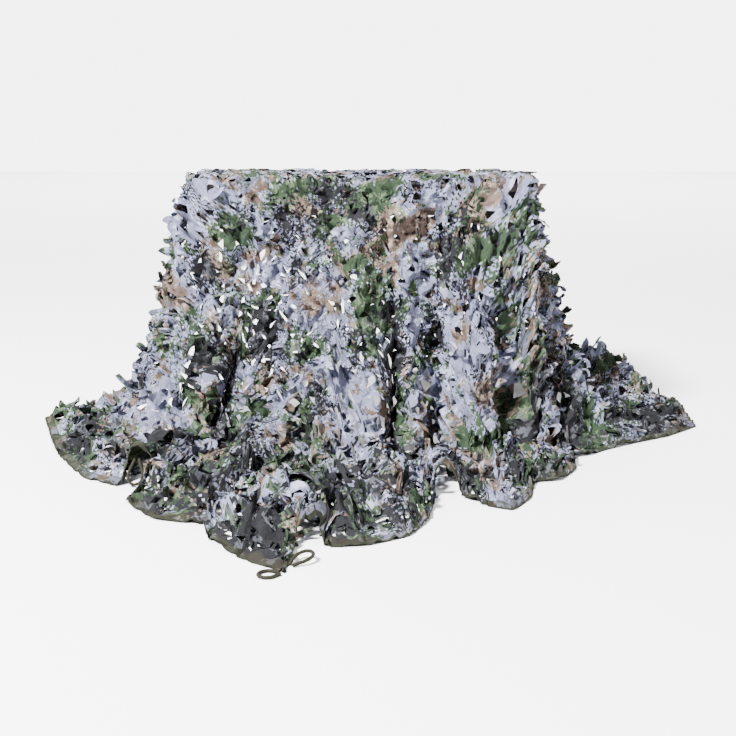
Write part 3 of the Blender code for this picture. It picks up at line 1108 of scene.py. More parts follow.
@dataclass(frozen=True)
class CamouflagePrint:
    """The printed face of the cloth, a square-edged pattern of woodland and stone colours.

    Scales, and threads, are how many lie in a metre. The shifts are how far apart in the noise
    the flecks and the patches are read, and later patches are printed over earlier ones. The
    first colour is painted shade: a darker copy of the lavender ground, for lavender in shade.
    """

    ground: Colour = (0.137, 0.144, 0.210)
    ground_fleck: Colour = (0.243, 0.252, 0.332)
    square: float = 0.0050
    roughness: float = 0.78
    roughness_spread: float = 0.16
    roughness_scale: float = 60.0
    gloss: float = 0.05
    threads: float = 900.0
    thread_share: float = 0.12
    relief: float = 0.0065
    fleck_cover: float = 0.42
    fleck_scale: float = 26.0
    fleck_scatter: float = 0.12
    fleck_shift: float = 1.3
    patch_shift: float = 3.7
    fade_colour: Colour = (0.30, 0.30, 0.34)
    fade_share: float = 0.04
    fade_scale: float = 21.0
    colours: tuple[PrintColour, ...] = (
        # Painted shade: darker lavender patches that stand in for the lavender cloth in shade.
        PrintColour("painted shade lavender", (0.060, 0.064, 0.090), (0.110, 0.116, 0.158), 0.385, 8.5, 0.05, 0.09),
        PrintColour("brown", (0.080, 0.055, 0.042), (0.150, 0.112, 0.092), 0.396, 15.0, 0.08, 0.00),
        PrintColour("tan", (0.104, 0.074, 0.058), (0.198, 0.153, 0.128), 0.435, 7.5, 0.07, 0.00),
        PrintColour("moss", (0.026, 0.045, 0.018), (0.084, 0.112, 0.054), 0.365, 16.0, 0.10, 0.05),
        PrintColour("green", (0.018, 0.032, 0.015), (0.060, 0.086, 0.047), 0.442, 6.2, 0.12, 0.08),
        PrintColour("charcoal", (0.007, 0.007, 0.008), (0.048, 0.050, 0.058), 0.402, 7.0, 0.17, 0.18),
    )

    def colour(self, nodes: Nodes, groups: NodeGroups, place: bpy.types.NodeSocket) -> bpy.types.NodeSocket:
        """The print's colour at a place on the cloth.

        Args:
            nodes: the material's nodes.
            groups: the shared node groups.
            place: the place on the cut net.

        Returns:
            The socket with the colour.
        """
        flecks = nodes.group(
            groups.patches,
            Place=place,
            Square=self.square,
            Scale=self.fleck_scale,
            Cover=self.fleck_cover,
            Scatter=self.fleck_scatter,
            Shift=self.fleck_shift,
        ).outputs["Mask"]
        # Painted shade: the dark patches spread further in the creases, hollows and low cloth.
        dark = nodes.group(groups.dark, Place=place).outputs["Mask"]
        shown = nodes.mixed(flecks, self.ground, self.ground_fleck)
        for number, row in enumerate(self.colours, 1):
            patches = nodes.group(
                groups.patches,
                Place=place,
                Square=self.square,
                Scale=row.scale,
                Cover=nodes.math("MULTIPLY_ADD", dark, row.gathered, row.cover),
                Scatter=row.scatter,
                Shift=self.patch_shift * number,
            )
            patches.label = row.name
            inked = nodes.mixed(flecks, row.colour, row.fleck)
            shown = nodes.mixed(patches.outputs["Mask"], shown, inked)
        return shown

    def height(self, nodes: Nodes, groups: NodeGroups, place: bpy.types.NodeSocket) -> bpy.types.NodeSocket:
        """The bump of the weave and of the creases.

        Args:
            nodes: the material's nodes.
            groups: the shared node groups.
            place: the place on the cut net.

        Returns:
            The socket with the height.
        """
        weave = nodes.group(groups.weave, Place=place, Threads=self.threads).outputs["Height"]
        creases = nodes.group(groups.creases, Place=place).outputs["Height"]
        return nodes.math("MULTIPLY_ADD", weave, self.thread_share, creases)

    def material(self, groups: NodeGroups) -> bpy.types.Material:
        """The printed face.

        Args:
            groups: the shared node groups.

        Returns:
            The material.
        """
        material, nodes = blank_material("camouflage print", self.ground)
        place = nodes.add("UVMap", uv_map="cut").outputs[0]
        fade = nodes.math("MULTIPLY", nodes.noise(place, self.fade_scale), self.fade_share)
        faded = nodes.mixed(fade, self.colour(nodes, groups, place), self.fade_colour)
        worn = nodes.noise(place, self.roughness_scale)
        least = self.roughness - self.roughness_spread / 2
        roughness = nodes.math("MULTIPLY_ADD", worn, self.roughness_spread, least)
        surface(nodes, faded, roughness, self.height(nodes, groups, place), self.relief, self.gloss)
        return material


@dataclass(frozen=True)
class ClothBack:
    """The unprinted back of the cloth, off-white, with a little of the print showing through."""

    printed: CamouflagePrint
    colour: Colour = (0.84, 0.82, 0.77)
    shows_through: float = 0.08
    roughness: float = 0.80
    roughness_spread: float = 0.12

    def material(self, groups: NodeGroups) -> bpy.types.Material:
        """The back.

        Args:
            groups: the shared node groups.

        Returns:
            The material.
        """
        material, nodes = blank_material("cloth back", self.colour)
        place = nodes.add("UVMap", uv_map="cut").outputs[0]
        printed = self.printed
        shown = nodes.mixed(self.shows_through, self.colour, printed.colour(nodes, groups, place))
        worn = nodes.noise(place, printed.roughness_scale)
        roughness = nodes.math("MULTIPLY_ADD", worn, self.roughness_spread, self.roughness)
        height = printed.height(nodes, groups, place)
        surface(nodes, shown, roughness, height, printed.relief, printed.gloss)
        return material


@dataclass(frozen=True)
class HemCloth:
    """The hem band: the print, browned by its doubled cloth, with a row of stitches.

    The stitches run stitch_in from the edge. stitch_gap is -1 for no gap between them and 1 for
    nothing but gap, and binding is how wide the line in the thread's colour at the edge is.
    """

    printed: CamouflagePrint
    long: float
    short: float
    tone: Colour = (0.016, 0.014, 0.009)
    tone_share: float = 0.62
    stitch: Colour = (0.012, 0.013, 0.008)
    stitch_in: float = 0.027
    stitch_half: float = 0.0008
    stitch_length: float = 0.0045
    stitch_gap: float = -0.3
    stitch_height: float = 0.5
    binding: float = 0.0070
    roughness: float = 0.72
    relief_share: float = 0.4
    gloss: float = 0.08

    def material(self, groups: NodeGroups) -> bpy.types.Material:
        """The band's outer face.

        Args:
            groups: the shared node groups.

        Returns:
            The material.
        """
        material, nodes = blank_material("hem band", self.tone)
        place = nodes.add("UVMap", uv_map="cut").outputs[0]
        apart = nodes.add("SeparateXYZ")
        nodes.link(place, apart.inputs[0])
        u, v = apart.outputs[0], apart.outputs[1]
        across = nodes.math("MINIMUM", u, nodes.math("SUBTRACT", self.long, u))
        along = nodes.math("MINIMUM", v, nodes.math("SUBTRACT", self.short, v))
        inward = nodes.math("MINIMUM", across, along)
        near = nodes.math("ABSOLUTE", nodes.math("SUBTRACT", inward, self.stitch_in))
        line = nodes.math("LESS_THAN", near, self.stitch_half)
        run = nodes.math("MULTIPLY", nodes.math("ADD", u, v), 2 * math.pi / self.stitch_length)
        sewn_there = nodes.math("GREATER_THAN", nodes.math("SINE", run), self.stitch_gap)
        thread = nodes.math("MULTIPLY", line, sewn_there)
        toned = nodes.mixed(self.tone_share, self.printed.colour(nodes, groups, place), self.tone)
        sewn = nodes.mixed(thread, toned, self.stitch)
        bound = nodes.mixed(nodes.math("LESS_THAN", inward, self.binding), sewn, self.stitch)
        height = self.printed.height(nodes, groups, place)
        raised = nodes.math("MULTIPLY_ADD", thread, self.stitch_height, height)
        relief = self.relief_share * self.printed.relief
        surface(nodes, bound, self.roughness, raised, relief, self.gloss)
        return material


@dataclass(frozen=True)
class BraidedCord:
    """The tie loops' cord: strands that cross over each other in a round braid.

    Half the strands run each way round, and the braid repeats at each strand_length. Its
    colour is darkened with painted shade in the low grooves between the strands: it is all
    shade below the first of shade_ends, and has none above the second.
    """

    colour: Colour = (0.020, 0.019, 0.011)
    # The colour of the painted shade in the braid's grooves.
    shade: Colour = (0.005, 0.005, 0.003)
    shade_ends: tuple[float, float] = (0.1, 0.7)
    strands: int = 8
    strand_length: float = 0.0065
    roughness: float = 0.74
    relief: float = 0.0009
    gloss: float = 0.10

    def material(self) -> bpy.types.Material:
        """The braid, which reads the cord's own map: round it, and along it in metres.

        Returns:
            The material.
        """
        material, nodes = blank_material("braided cord", self.colour)
        place = nodes.add("UVMap", uv_map="braid").outputs[0]
        apart = nodes.add("SeparateXYZ")
        nodes.link(place, apart.inputs[0])
        around = nodes.math("MULTIPLY", apart.outputs[0], self.strands / 2)
        along = nodes.math("MULTIPLY", apart.outputs[1], 1 / self.strand_length)
        waves = []
        for way in ("ADD", "SUBTRACT"):
            turns = nodes.math("MULTIPLY", nodes.math(way, around, along), 2 * math.pi)
            waves.append(nodes.math("SINE", turns))
        braid = nodes.math("MULTIPLY_ADD", nodes.math("MULTIPLY", *waves), 0.5, 0.5)
        # Painted shade: the colour darkens to the shade colour in the braid's low grooves.
        shown = nodes.mixed(nodes.ranged(braid, *self.shade_ends), self.shade, self.colour)
        surface(nodes, shown, self.roughness, braid, self.relief, self.gloss)
        return material


@dataclass(frozen=True)
class StainedBoard:
    """The table's board and wood, stained dark, with a straight grain.

    across and along are how many streaks lie in a metre each way, and pores how many times finer
    the pores are. The wood is all dark below the first of streak_ends, and all light above the
    second.
    """

    light: Colour = (0.085, 0.066, 0.052)
    dark: Colour = (0.030, 0.023, 0.019)
    across: float = 30.0
    along: float = 1.6
    pores: float = 7.0
    pore_share: float = 0.25
    streak_ends: tuple[float, float] = (0.45, 0.80)
    roughness: float = 0.48
    roughness_spread: float = 0.12
    relief: float = 0.0004

    def material(self, name: str, axis: int) -> bpy.types.Material:
        """The finish of one board.

        Args:
            name: the material's name.
            axis: the axis that the grain runs along: 0, 1 or 2.

        Returns:
            The material.
        """
        material, nodes = blank_material(name, self.light)
        place = nodes.add("TexCoord").outputs["Object"]
        mapping = nodes.add("Mapping")
        stretch = [self.across] * 3
        stretch[axis] = self.along
        mapping.inputs["Scale"].default_value = stretch
        nodes.link(place, mapping.inputs["Vector"])
        grain = nodes.noise(mapping.outputs[0], scale=1.0, detail=6.0)
        pores = nodes.noise(mapping.outputs[0], scale=self.pores)
        strength = nodes.math("MULTIPLY_ADD", pores, self.pore_share, grain)
        streak = nodes.ranged(strength, *self.streak_ends)
        shown = nodes.mixed(streak, self.dark, self.light)
        roughness = nodes.math("MULTIPLY_ADD", pores, self.roughness_spread, self.roughness)
        surface(nodes, shown, roughness, streak, self.relief)
        return material


@dataclass(frozen=True)
class PaleFloor:
    """The studio's floor."""

    colour: Colour = (0.80, 0.79, 0.815)
    roughness: float = 0.9

    def material(self) -> bpy.types.Material:
        """A plain matt finish.

        Returns:
            The material.
        """
        material, nodes = blank_material("pale floor", self.colour)
        surface(nodes, self.colour, self.roughness, height=None, depth=0.0)
        return material


# ---------------------------------------------------------------- the net


class LeafWay(Enum):
    """Which way a leaf points on the cut net, as quarter turns from its short side's way."""

    ACROSS = 0
    LEFTWARD = 1
    BACK = 2
    RIGHTWARD = 3


# A leaf has five points across it and six rows of faces along it. Its cell has a step of the
# net's grid for each of those faces, along the net and across it.
POINTS_ACROSS = 5
MIDDLE_POINT = POINTS_ACROSS // 2
LEAF_ROWS = 6
CELL_LONG = POINTS_ACROSS - 1
CELL_WIDE = LEAF_ROWS


def rim_walk() -> np.ndarray:
    """Walks round the rim of a leaf or its cell, from its hinge's left.

    Returns:
        How far across it and along it each point is.
    """
    over, up = range(CELL_LONG + 1), range(1, CELL_WIDE)
    walk = [(k, 0) for k in over] + [(CELL_LONG, m) for m in up]
    walk += [(k, CELL_WIDE) for k in reversed(over)] + [(0, m) for m in reversed(up)]
    return np.array(walk)


RIM_POINTS, RIM_ROWS = rim_walk().T
RIM = len(RIM_ROWS)


@dataclass
class LeafShapes:
    """How the leaves are cut and how each one stands, an array entry for each leaf.

    Attributes:
        hinge: half the width at which a leaf stays joined to the net.
        belly: how much wider it is half way along.
        tip: half the width at which its rounded end starts.
        length: its length.
        point: how far its sides end short of its tip, as a share of its length.
        slant: how much longer its right side is than its left.
        bend: how far its tip leans aside.
        skew: how far the whole cut is turned, in radians, its way included.
        narrow: how wide its hole stands open, as a share of its own width.
        short: how long the hole is, as a share of its own length.
        lift: the angle at which it leaves the net.
        curl: how much further it has turned at its tip.
        fold: how far it is bent half way along.
        roll: how far it twists along its length.
        cup: how far each side rises from its middle line.
        left_curl: how far its left edge curls up.
        right_curl: how far its right edge curls up.
    """

    hinge: np.ndarray
    belly: np.ndarray
    tip: np.ndarray
    length: np.ndarray
    point: np.ndarray
    slant: np.ndarray
    bend: np.ndarray
    skew: np.ndarray
    narrow: np.ndarray
    short: np.ndarray
    lift: np.ndarray
    curl: np.ndarray
    fold: np.ndarray
    roll: np.ndarray
    cup: np.ndarray
    left_curl: np.ndarray
    right_curl: np.ndarray

    @classmethod
    def drawn(cls, quarters: np.ndarray, turned_length: float, seed: int) -> "LeafShapes":
        """Draws the shapes of leaves.

        Args:
            quarters: which way each points, in quarter turns.
            turned_length: how long those that point along the net are, beside the others.
            seed: what the shapes are drawn from.

        Returns:
            The shapes.
        """
        draw = np.random.default_rng(seed)
        count = len(quarters)

        def some(share: float, low: float, high: float, middle: float, spread: float) -> np.ndarray:
            """Draws angles, mild for most leaves and strong for a share of them.

            Args:
                share: the share of leaves that turn strongly.
                low: the least that those turn, in degrees.
                high: the most.
                middle: how far the others turn on average.
                spread: how far those vary.

            Returns:
                The angles in radians.
            """
            strong = draw.uniform(low, high, count)
            mild = draw.normal(middle, spread, count)
            return np.radians(np.where(draw.random(count) < share, strong, mild))

        return cls(
            hinge=draw.uniform(0.0100, 0.0145, count),
            belly=draw.uniform(-0.0010, 0.0042, count),
            tip=draw.uniform(0.0105, 0.0185, count),
            length=draw.uniform(0.0310, 0.0440, count) * np.where(quarters % 2, turned_length, 1.0),
            point=draw.uniform(0.00, 0.12, count),
            slant=draw.uniform(-0.30, 0.30, count),
            bend=draw.normal(0.0, 0.0040, count),
            skew=np.clip(draw.normal(0.0, 0.20, count), -0.32, 0.32) + quarters * math.pi / 2,
            narrow=draw.uniform(0.58, 0.96, count),
            short=draw.uniform(0.74, 0.94, count),
            lift=some(0.08, 26, 40, 15, 8),
            curl=some(0.14, 100, 170, 3, 20),
            fold=np.radians(np.clip(draw.normal(-2, 32, count), -70, 34)),
            roll=np.radians(draw.normal(0, 28, count)),
            cup=np.radians(draw.normal(4, 20, count)),
            left_curl=some(0.34, 105, 170, 4, 20),
            right_curl=some(0.34, 105, 170, 4, 20),
        )


@dataclass(frozen=True)
class LeafForm:
    """How a leaf's width and its bends are shared out over it.

    Attributes:
        ribs: where its five points across lie, as shares of half its width.
        point_power: how sharp its point is.
        narrowest: how far the hung net may narrow it.
        shortest: how far the hung net may shorten it.
        lift_rate: how many times sooner than at its tip it has its full lift.
        curl_power: how much of its curl is left to its tip.
        fold_from: where along it its fold begins.
        fold_to: where the fold ends.
        root_curl: how much of its sides' curl it has at its hinge.
        curl_rate: how fast the rest of that comes along it.
        inner_curl: how much of that its inner points have.
        hinge_power: how soon along it leaves its hinge's own line.
    """

    ribs: tuple[float, ...] = (-1.0, -0.55, 0.0, 0.55, 1.0)
    point_power: float = 1.4
    narrowest: float = 0.70
    shortest: float = 0.75
    lift_rate: float = 3
    curl_power: float = 2.2
    fold_from: float = 0.25
    fold_to: float = 0.75
    root_curl: float = 0.25
    curl_rate: float = 1.5
    inner_curl: float = 0.2
    hinge_power: int = 3


@dataclass(frozen=True)
class LeafWeight:
    """How their weight settles the leaves. Angles are in degrees.

    Attributes:
        level_from: the upward slopes at which the net begins to be level, and is.
        least_lift: how far every leaf lifts before it is pressed down.
        flop_slope: how steeply upward a leaf points that may flop over.
        flop_share: the share of those that do.
        flop_curl: how far they curl at least.
        sink_level: how level the net may be where a leaf sinks in behind it.
        sink_drop: how far below the table's top such a leaf is at least.
        sink_share: the share of those that do.
        sink_lift: how far they turn inward, as a share of their lift outward.
        edge_low: how far below the table's top its edge begins to press the leaves.
        edge_high: how far below it they are pressed in full.
        edge_press: how much that takes off their lift and curl.
        edge_untwist: how much it takes off their roll.
        level_press: how much lying level takes off their lift.
        level_uncurl: how much it takes off their curl.
        hem_from: how far past the hem the leaves would lie flat.
        hem_to: how far in from it they stand in full.
    """

    level_from: tuple[float, float] = (0.6, 0.95)
    least_lift: float = 5
    flop_slope: float = 0.35
    flop_share: float = 0.10
    flop_curl: float = 60
    sink_level: float = 0.2
    sink_drop: float = 0.09
    sink_share: float = 0.32
    sink_lift: float = 0.8
    edge_low: float = 0.05
    edge_high: float = 0.01
    edge_press: float = 0.70
    edge_untwist: float = 0.4
    level_press: float = 0.30
    level_uncurl: float = 0.20
    hem_from: float = -0.06
    hem_to: float = 0.12


@dataclass
class LeafNet:
    """The net's cloth: leaf-cut in rows, hemmed all round, and hung on the drape.

    The cut is laid out in cells on a grid of lines. Every other row lies half a cell along. The
    cuts gape least round closed_at, where the net is slack.

    Attributes:
        drape: the surface that it hangs on.
        leaf_width: how far it is from one leaf to the next along the net.
        leaf_room: how far it is from one row to the next.
        widest: how far the hung net may stretch a leaf across.
        longest: how far it may stretch one along.
        closed_at: the middle of the slack part, from the table's middle and the floor.
        closed_reach: how far the slack part reaches each way.
        closed_share: how much narrower the cuts are in its middle.
        hem: how wide the hem is.
        hem_steps: how many steps of the grid cross it.
        cloth: how thick the cloth is.
        hem_cloth: how thick the hem is.
        strips: how many pieces the net is made in.
        way_shares: the shares of the leaves that point each LeafWay.
        seed: what the leaves are drawn from.
        sway: how the rows wander on the cut net, with sway_size how far they do.
        sway_apart: how far apart the waves for the two directions are read.
        sway_hems: how many hems in from the edge they wander in full.
        swell: the net's broad swells, with their size.
        level_swell: how much higher the net swells where it lies level.
        swell_hems: how many hems in from the edge it swells in full.
        crumple: its crumples, with their size.
        crumple_gain: how much sharper they are than smooth waves.
        crumple_sunk: how far they are sunk in, so that they average nothing.
        hem_crumple: the share of them that reaches the hem.
        pucker: its small puckers, with their size.
        turned_over: the upward slope below which the net faces its other way.
        level_from: the upward slopes at which it begins to be level, and is.
        lying: how level it is, from 0 to 1, where it never sinks in.
        leaf_form: how the leaves are bent.
        leaf_weight: how they settle.
        slope_step: how far to each side of a leaf's hinge the net is read for its slopes.
        smooth_within: the angle in degrees up to which neighbouring faces shade as one.
    """

    drape: DrapedNet
    leaf_width: float = 0.0430
    leaf_room: float = 0.0510
    widest: float = 1.45
    longest: float = 1.20
    closed_at: tuple[float, float, float] = (-0.20, -0.42, 0.30)
    closed_reach: tuple[float, float, float] = (0.36, 0.30, 0.20)
    closed_share: float = 0.62
    hem: float = 0.030
    hem_steps: int = 4
    cloth: float = 0.0006
    hem_cloth: float = 0.0016
    strips: int = 5
    way_shares: tuple[float, ...] = (0.29, 0.21, 0.29, 0.21)
    seed: int = 5
    sway: Ripples = Ripples(0.10, 0.30, 14, 31)
    sway_size: float = 0.0050
    sway_apart: float = 0.37
    sway_hems: float = 2.5
    swell: Ripples = Ripples(0.130, 0.260, 22, 32)
    swell_size: float = 0.0105
    level_swell: float = 0.8
    swell_hems: float = 3.0
    crumple: Ripples = Ripples(0.060, 0.120, 26, 34)
    crumple_size: float = 0.0105
    crumple_gain: float = 1.5
    crumple_sunk: float = 0.9
    hem_crumple: float = 0.25
    pucker: Ripples = Ripples(0.028, 0.055, 30, 33)
    pucker_size: float = 0.0050
    turned_over: float = -0.2
    level_from: tuple[float, float] = (0.55, 0.95)
    lying: float = 0.5
    leaf_form: LeafForm = LeafForm()
    leaf_weight: LeafWeight = LeafWeight()
    slope_step: float = 0.011
    smooth_within: float = 28

    def __post_init__(self) -> None:
        """Lays out the grid of lines."""
        self.columns = round((self.drape.long - 2 * self.hem) / self.leaf_width)
        self.lines = round((self.drape.short - 2 * self.hem) / self.leaf_room)
        self.x = self.grid(self.drape.long, self.columns * CELL_LONG)
        self.y = self.grid(self.drape.short, self.lines * CELL_WIDE)

    def grid(self, whole: float, steps: int) -> np.ndarray:
        """The lines across one direction, closer in the hem.

        Args:
            whole: the net's size in that direction.
            steps: how many steps there are between the hems.

        Returns:
            Where the lines lie, from the net's middle.
        """
        half = whole / 2
        band = np.linspace(-half, -half + self.hem, self.hem_steps + 1)
        inner = np.linspace(-half + self.hem, half - self.hem, steps + 1)
        return np.concatenate([band[:-1], inner, -band[::-1][1:]])

    def inward(self, cut: np.ndarray) -> np.ndarray:
        """How far points of the cut lie in from its edge."""
        half = np.array((self.drape.long / 2, self.drape.short / 2))
        return (half - np.abs(cut)).min(axis=-1)

    def swayed(self, cut: np.ndarray) -> np.ndarray:
        """Shifts points of the cut a little, so that the rows aren't ruled lines.

        Args:
            cut: the points.

        Returns:
            The shifted points.
        """
        free = smooth(self.hem, self.sway_hems * self.hem, self.inward(cut))
        share = self.sway_size * free[..., None]
        other = cut[..., ::-1] + self.sway_apart
        return cut + share * np.stack([self.sway.at(cut), self.sway.at(other)], axis=-1)

    def hung(self, cut: np.ndarray) -> tuple[np.ndarray, np.ndarray]:
        """Hangs points of the cut, with the net's small crumples.

        Args:
            cut: the points, already swayed.

        Returns:
            Their places and the outward directions there.
        """
        places = self.drape.place(cut)
        along, across = self.drape.slopes(cut)
        outward = unit(np.cross(along, across))
        outward[outward[:, 2] < self.turned_over] *= -1
        level = smooth(*self.level_from, outward[:, 2])
        free = smooth(0.0, self.swell_hems * self.hem, self.inward(cut))
        swell = self.swell_size * free * (self.swell.at(cut) + self.level_swell * level)
        folded = self.crumple_gain * np.abs(self.crumple.at(cut)) - self.crumple_sunk
        bound = self.hem_crumple + (1 - self.hem_crumple) * free
        pucker = self.pucker_size * self.pucker.at(cut)
        height = swell + self.crumple_size * bound * folded + pucker + creased(places, CREASES)
        height = np.where(level > self.lying, np.maximum(height + self.pucker_size, 0), height)
        return places + outward * height[:, None], outward

    def cells(self) -> tuple[np.ndarray, np.ndarray, np.ndarray]:
        """Sets out the leaves' cells, and draws which way each leaf points.

        Returns:
            The cells' left lines, their lower lines, and their leaves' quarter turns.
        """
        draw = np.random.default_rng(self.seed)
        first = self.hem_steps
        left, low = [], []
        for line in range(self.lines):
            odd = line % 2
            for column in range(self.columns - odd):
                left.append(first + CELL_LONG * column + CELL_LONG // 2 * odd)
                low.append(first + CELL_WIDE * line)
        ways = np.array([way.value for way in LeafWay])
        return np.array(left), np.array(low), draw.choice(ways, len(left), p=self.way_shares)

    def plain_squares(self) -> np.ndarray:
        """Finds the grid squares that hold no leaf, in the hem and in the half cells at rows' ends.

        Returns:
            A row for each: its left line, its lower line, and whether it is the hem's.
        """
        first, half_cell = self.hem_steps, CELL_LONG // 2
        end_x, end_y = first + self.columns * CELL_LONG, first + self.lines * CELL_WIDE
        squares = []
        for i in range(len(self.x) - 1):
            for j in range(len(self.y) - 1):
                in_hem = not (first <= i < end_x and first <= j < end_y)
                odd = (j - first) // CELL_WIDE % 2 == 1
                at_end = i < first + half_cell or i >= end_x - half_cell
                if in_hem or (odd and at_end):
                    squares.append((i, j, in_hem))
        return np.array(squares)

    def outer_rings(self, left: np.ndarray, low: np.ndarray, quarters: np.ndarray) -> np.ndarray:
        """Walks the grid points round each cell, from its leaf's hinge's left.

        Args:
            left: the cells' left lines.
            low: their lower lines.
            quarters: their leaves' quarter turns.

        Returns:
            The points' grid lines, as (cells, RIM, 2) numbers.
        """
        turned = (np.arange(RIM)[None] + RIM // len(LeafWay) * quarters[:, None]) % RIM
        return np.stack([left, low], axis=1)[:, None] + rim_walk()[turned]

    def leaf_grid(self, shapes: LeafShapes) -> tuple[np.ndarray, np.ndarray]:
        """Each leaf's points as they are cut: across it from its middle, and along from its hinge.

        Args:
            shapes: the leaves' shapes.

        Returns:
            The two as (leaves, rows, 5) arrays.
        """
        across = np.array(self.leaf_form.ribs)[None, None, :]
        row = np.linspace(0, 1, LEAF_ROWS + 1)[None, :, None]
        hinge, tip, belly = (v[:, None, None] for v in (shapes.hinge, shapes.tip, shapes.belly))
        length, point, bend = (v[:, None, None] for v in (shapes.length, shapes.point, shapes.bend))
        half = hinge * (1 - row) + tip * row + belly * 4 * row * (1 - row)
        aside = across * half + bend * row**2
        slant = shapes.slant[:, None, None]
        pointed = point * np.abs(across) ** self.leaf_form.point_power
        return aside, row * length * (1 - pointed + slant * across)

    def cut_points(
        self, shapes: LeafShapes, middle: np.ndarray, aside: np.ndarray, along: np.ndarray
    ) -> np.ndarray:
        """Where points of the leaves lie on the cut net.

        Args:
            shapes: the leaves' shapes.
            middle: the middles of their cells.
            aside: the points across each leaf.
            along: the points along each leaf.

        Returns:
            Their places on the cut net, with the leaves centred in their cells.
        """
        centred = along - 0.5 * shapes.length.reshape(-1, *[1] * (along.ndim - 1))
        turn = shapes.skew.reshape(-1, *[1] * (along.ndim - 1))
        x = aside * np.cos(turn) - centred * np.sin(turn)
        y = aside * np.sin(turn) + centred * np.cos(turn)
        at = middle.reshape(-1, *[1] * (along.ndim - 1), 2)
        return self.swayed(at + np.stack([x, y], axis=-1))

    def posed(
        self, shapes: LeafShapes, aside: np.ndarray, along: np.ndarray, hinges: np.ndarray,
        side: np.ndarray, ahead: np.ndarray
    ) -> np.ndarray:
        """Stands the leaves out of the net.

        Args:
            shapes: the leaves' shapes.
            aside: their points across them, as (leaves, rows, 5).
            along: their points along them.
            hinges: the places of their hinge points, as (leaves, 5, 3).
            side: how the surface runs across each leaf.
            ahead: how it runs along each leaf.

        Returns:
            The places of all the points.
        """
        form = self.leaf_form
        run_side, run_ahead = (np.linalg.norm(run, axis=1)[:, None, None] for run in (side, ahead))
        stretch_side = np.clip(run_side, form.narrowest, self.widest)
        stretch_ahead = np.clip(run_ahead, form.shortest, self.longest)
        side = unit(side)
        outward = unit(np.cross(side, unit(ahead)))
        ahead = np.cross(outward, side)
        rows = np.linspace(0, 1, LEAF_ROWS + 1)
        angle = shapes.lift[:, None] * np.minimum(1, rows * form.lift_rate)
        angle += shapes.curl[:, None] * rows**form.curl_power
        angle += shapes.fold[:, None] * smooth(form.fold_from, form.fold_to, rows)
        halfway = (angle[:, 1:] + angle[:, :-1])[:, :, None] / 2
        steps = np.diff(along, axis=1) * stretch_ahead
        nothing = np.zeros_like(along[:, :1])
        travel = np.concatenate([nothing, np.cumsum(steps * np.cos(halfway), axis=1)], axis=1)
        rise = np.concatenate([nothing, np.cumsum(steps * np.sin(halfway), axis=1)], axis=1)
        centre = aside[:, :, MIDDLE_POINT, None]
        off, above = self.sections(shapes, (aside - centre) * stretch_side)
        roll = (shapes.roll[:, None] * rows)[:, :, None]
        tilt = angle[:, :, None]
        off, above = off * np.cos(roll) - above * np.sin(roll), off * np.sin(roll) + above * np.cos(roll)
        fade = ((1 - rows) ** form.hinge_power)[None, :, None, None]
        middle = hinges[:, None, MIDDLE_POINT, None]
        widened = (off + centre * stretch_side)[..., None] * side[:, None, None]
        bent = (travel - above * np.sin(tilt))[..., None] * ahead[:, None, None]
        raised = (rise + above * np.cos(tilt))[..., None] * outward[:, None, None]
        posed = middle + widened + bent + raised
        return posed + fade * (hinges[:, None] - posed[:, :1])

    def sections(self, shapes: LeafShapes, off: np.ndarray) -> tuple[np.ndarray, np.ndarray]:
        """Curls the leaves' sides up.

        Args:
            shapes: the leaves' shapes.
            off: how far each point lies from its leaf's middle line, as (leaves, rows, 5).

        Returns:
            How far each lies beside the middle line, and above it.
        """
        form, rows = self.leaf_form, np.linspace(0, 1, LEAF_ROWS + 1)
        grown = np.minimum(1, form.root_curl + form.curl_rate * rows)[None, :, None]
        curls = np.stack([shapes.left_curl, shapes.right_curl], axis=-1)[:, None] * grown
        inner, outer = off[:, :, (1, 3)], off[:, :, (0, 4)]
        base = shapes.cup[:, None, None] * grown
        first, second = base + form.inner_curl * curls, base + curls
        near, near_up = inner * np.cos(first), np.abs(inner) * np.sin(first)
        far = near + (outer - inner) * np.cos(second)
        far_up = near_up + np.abs(outer - inner) * np.sin(second)
        nought = np.zeros_like(off[:, :, MIDDLE_POINT])
        beside = np.stack([far[..., 0], near[..., 0], nought, near[..., 1], far[..., 1]], axis=-1)
        rises = [far_up[..., 0], near_up[..., 0], nought, near_up[..., 1], far_up[..., 1]]
        return beside, np.stack(rises, axis=-1)

    def hole_rims(
        self, shapes: LeafShapes, middle: np.ndarray, quarters: np.ndarray,
        aside: np.ndarray, along: np.ndarray
    ) -> np.ndarray:
        """Where the rims of the leaves' holes lie on the cut net.

        A hole opens less where the net hangs stretched, and round closed_at.

        Args:
            shapes: the leaves' shapes.
            middle: the middles of their cells.
            quarters: their quarter turns.
            aside: the leaves' points across them.
            along: the points along them.

        Returns:
            The places, as (leaves, RIM, 2) numbers.
        """
        runs = [np.linalg.norm(run, axis=1) for run in self.drape.slopes(self.swayed(middle))]
        side_run = np.where(quarters % 2, runs[1], runs[0])
        ahead_run = np.where(quarters % 2, runs[0], runs[1])
        away = (self.drape.place(middle) - self.closed_at) / self.closed_reach
        opened = 1 - self.closed_share * np.exp(-np.sum(away**2, axis=1))
        narrow = (shapes.narrow * opened / np.maximum(1, side_run / self.widest))[:, None]
        short = (shapes.short / np.maximum(1, ahead_run / self.longest))[:, None]
        half = 0.5 * shapes.length[:, None]
        rim_aside, rim_along = aside[:, RIM_ROWS, RIM_POINTS], along[:, RIM_ROWS, RIM_POINTS]
        return self.cut_points(shapes, middle, narrow * rim_aside, half + short * (rim_along - half))

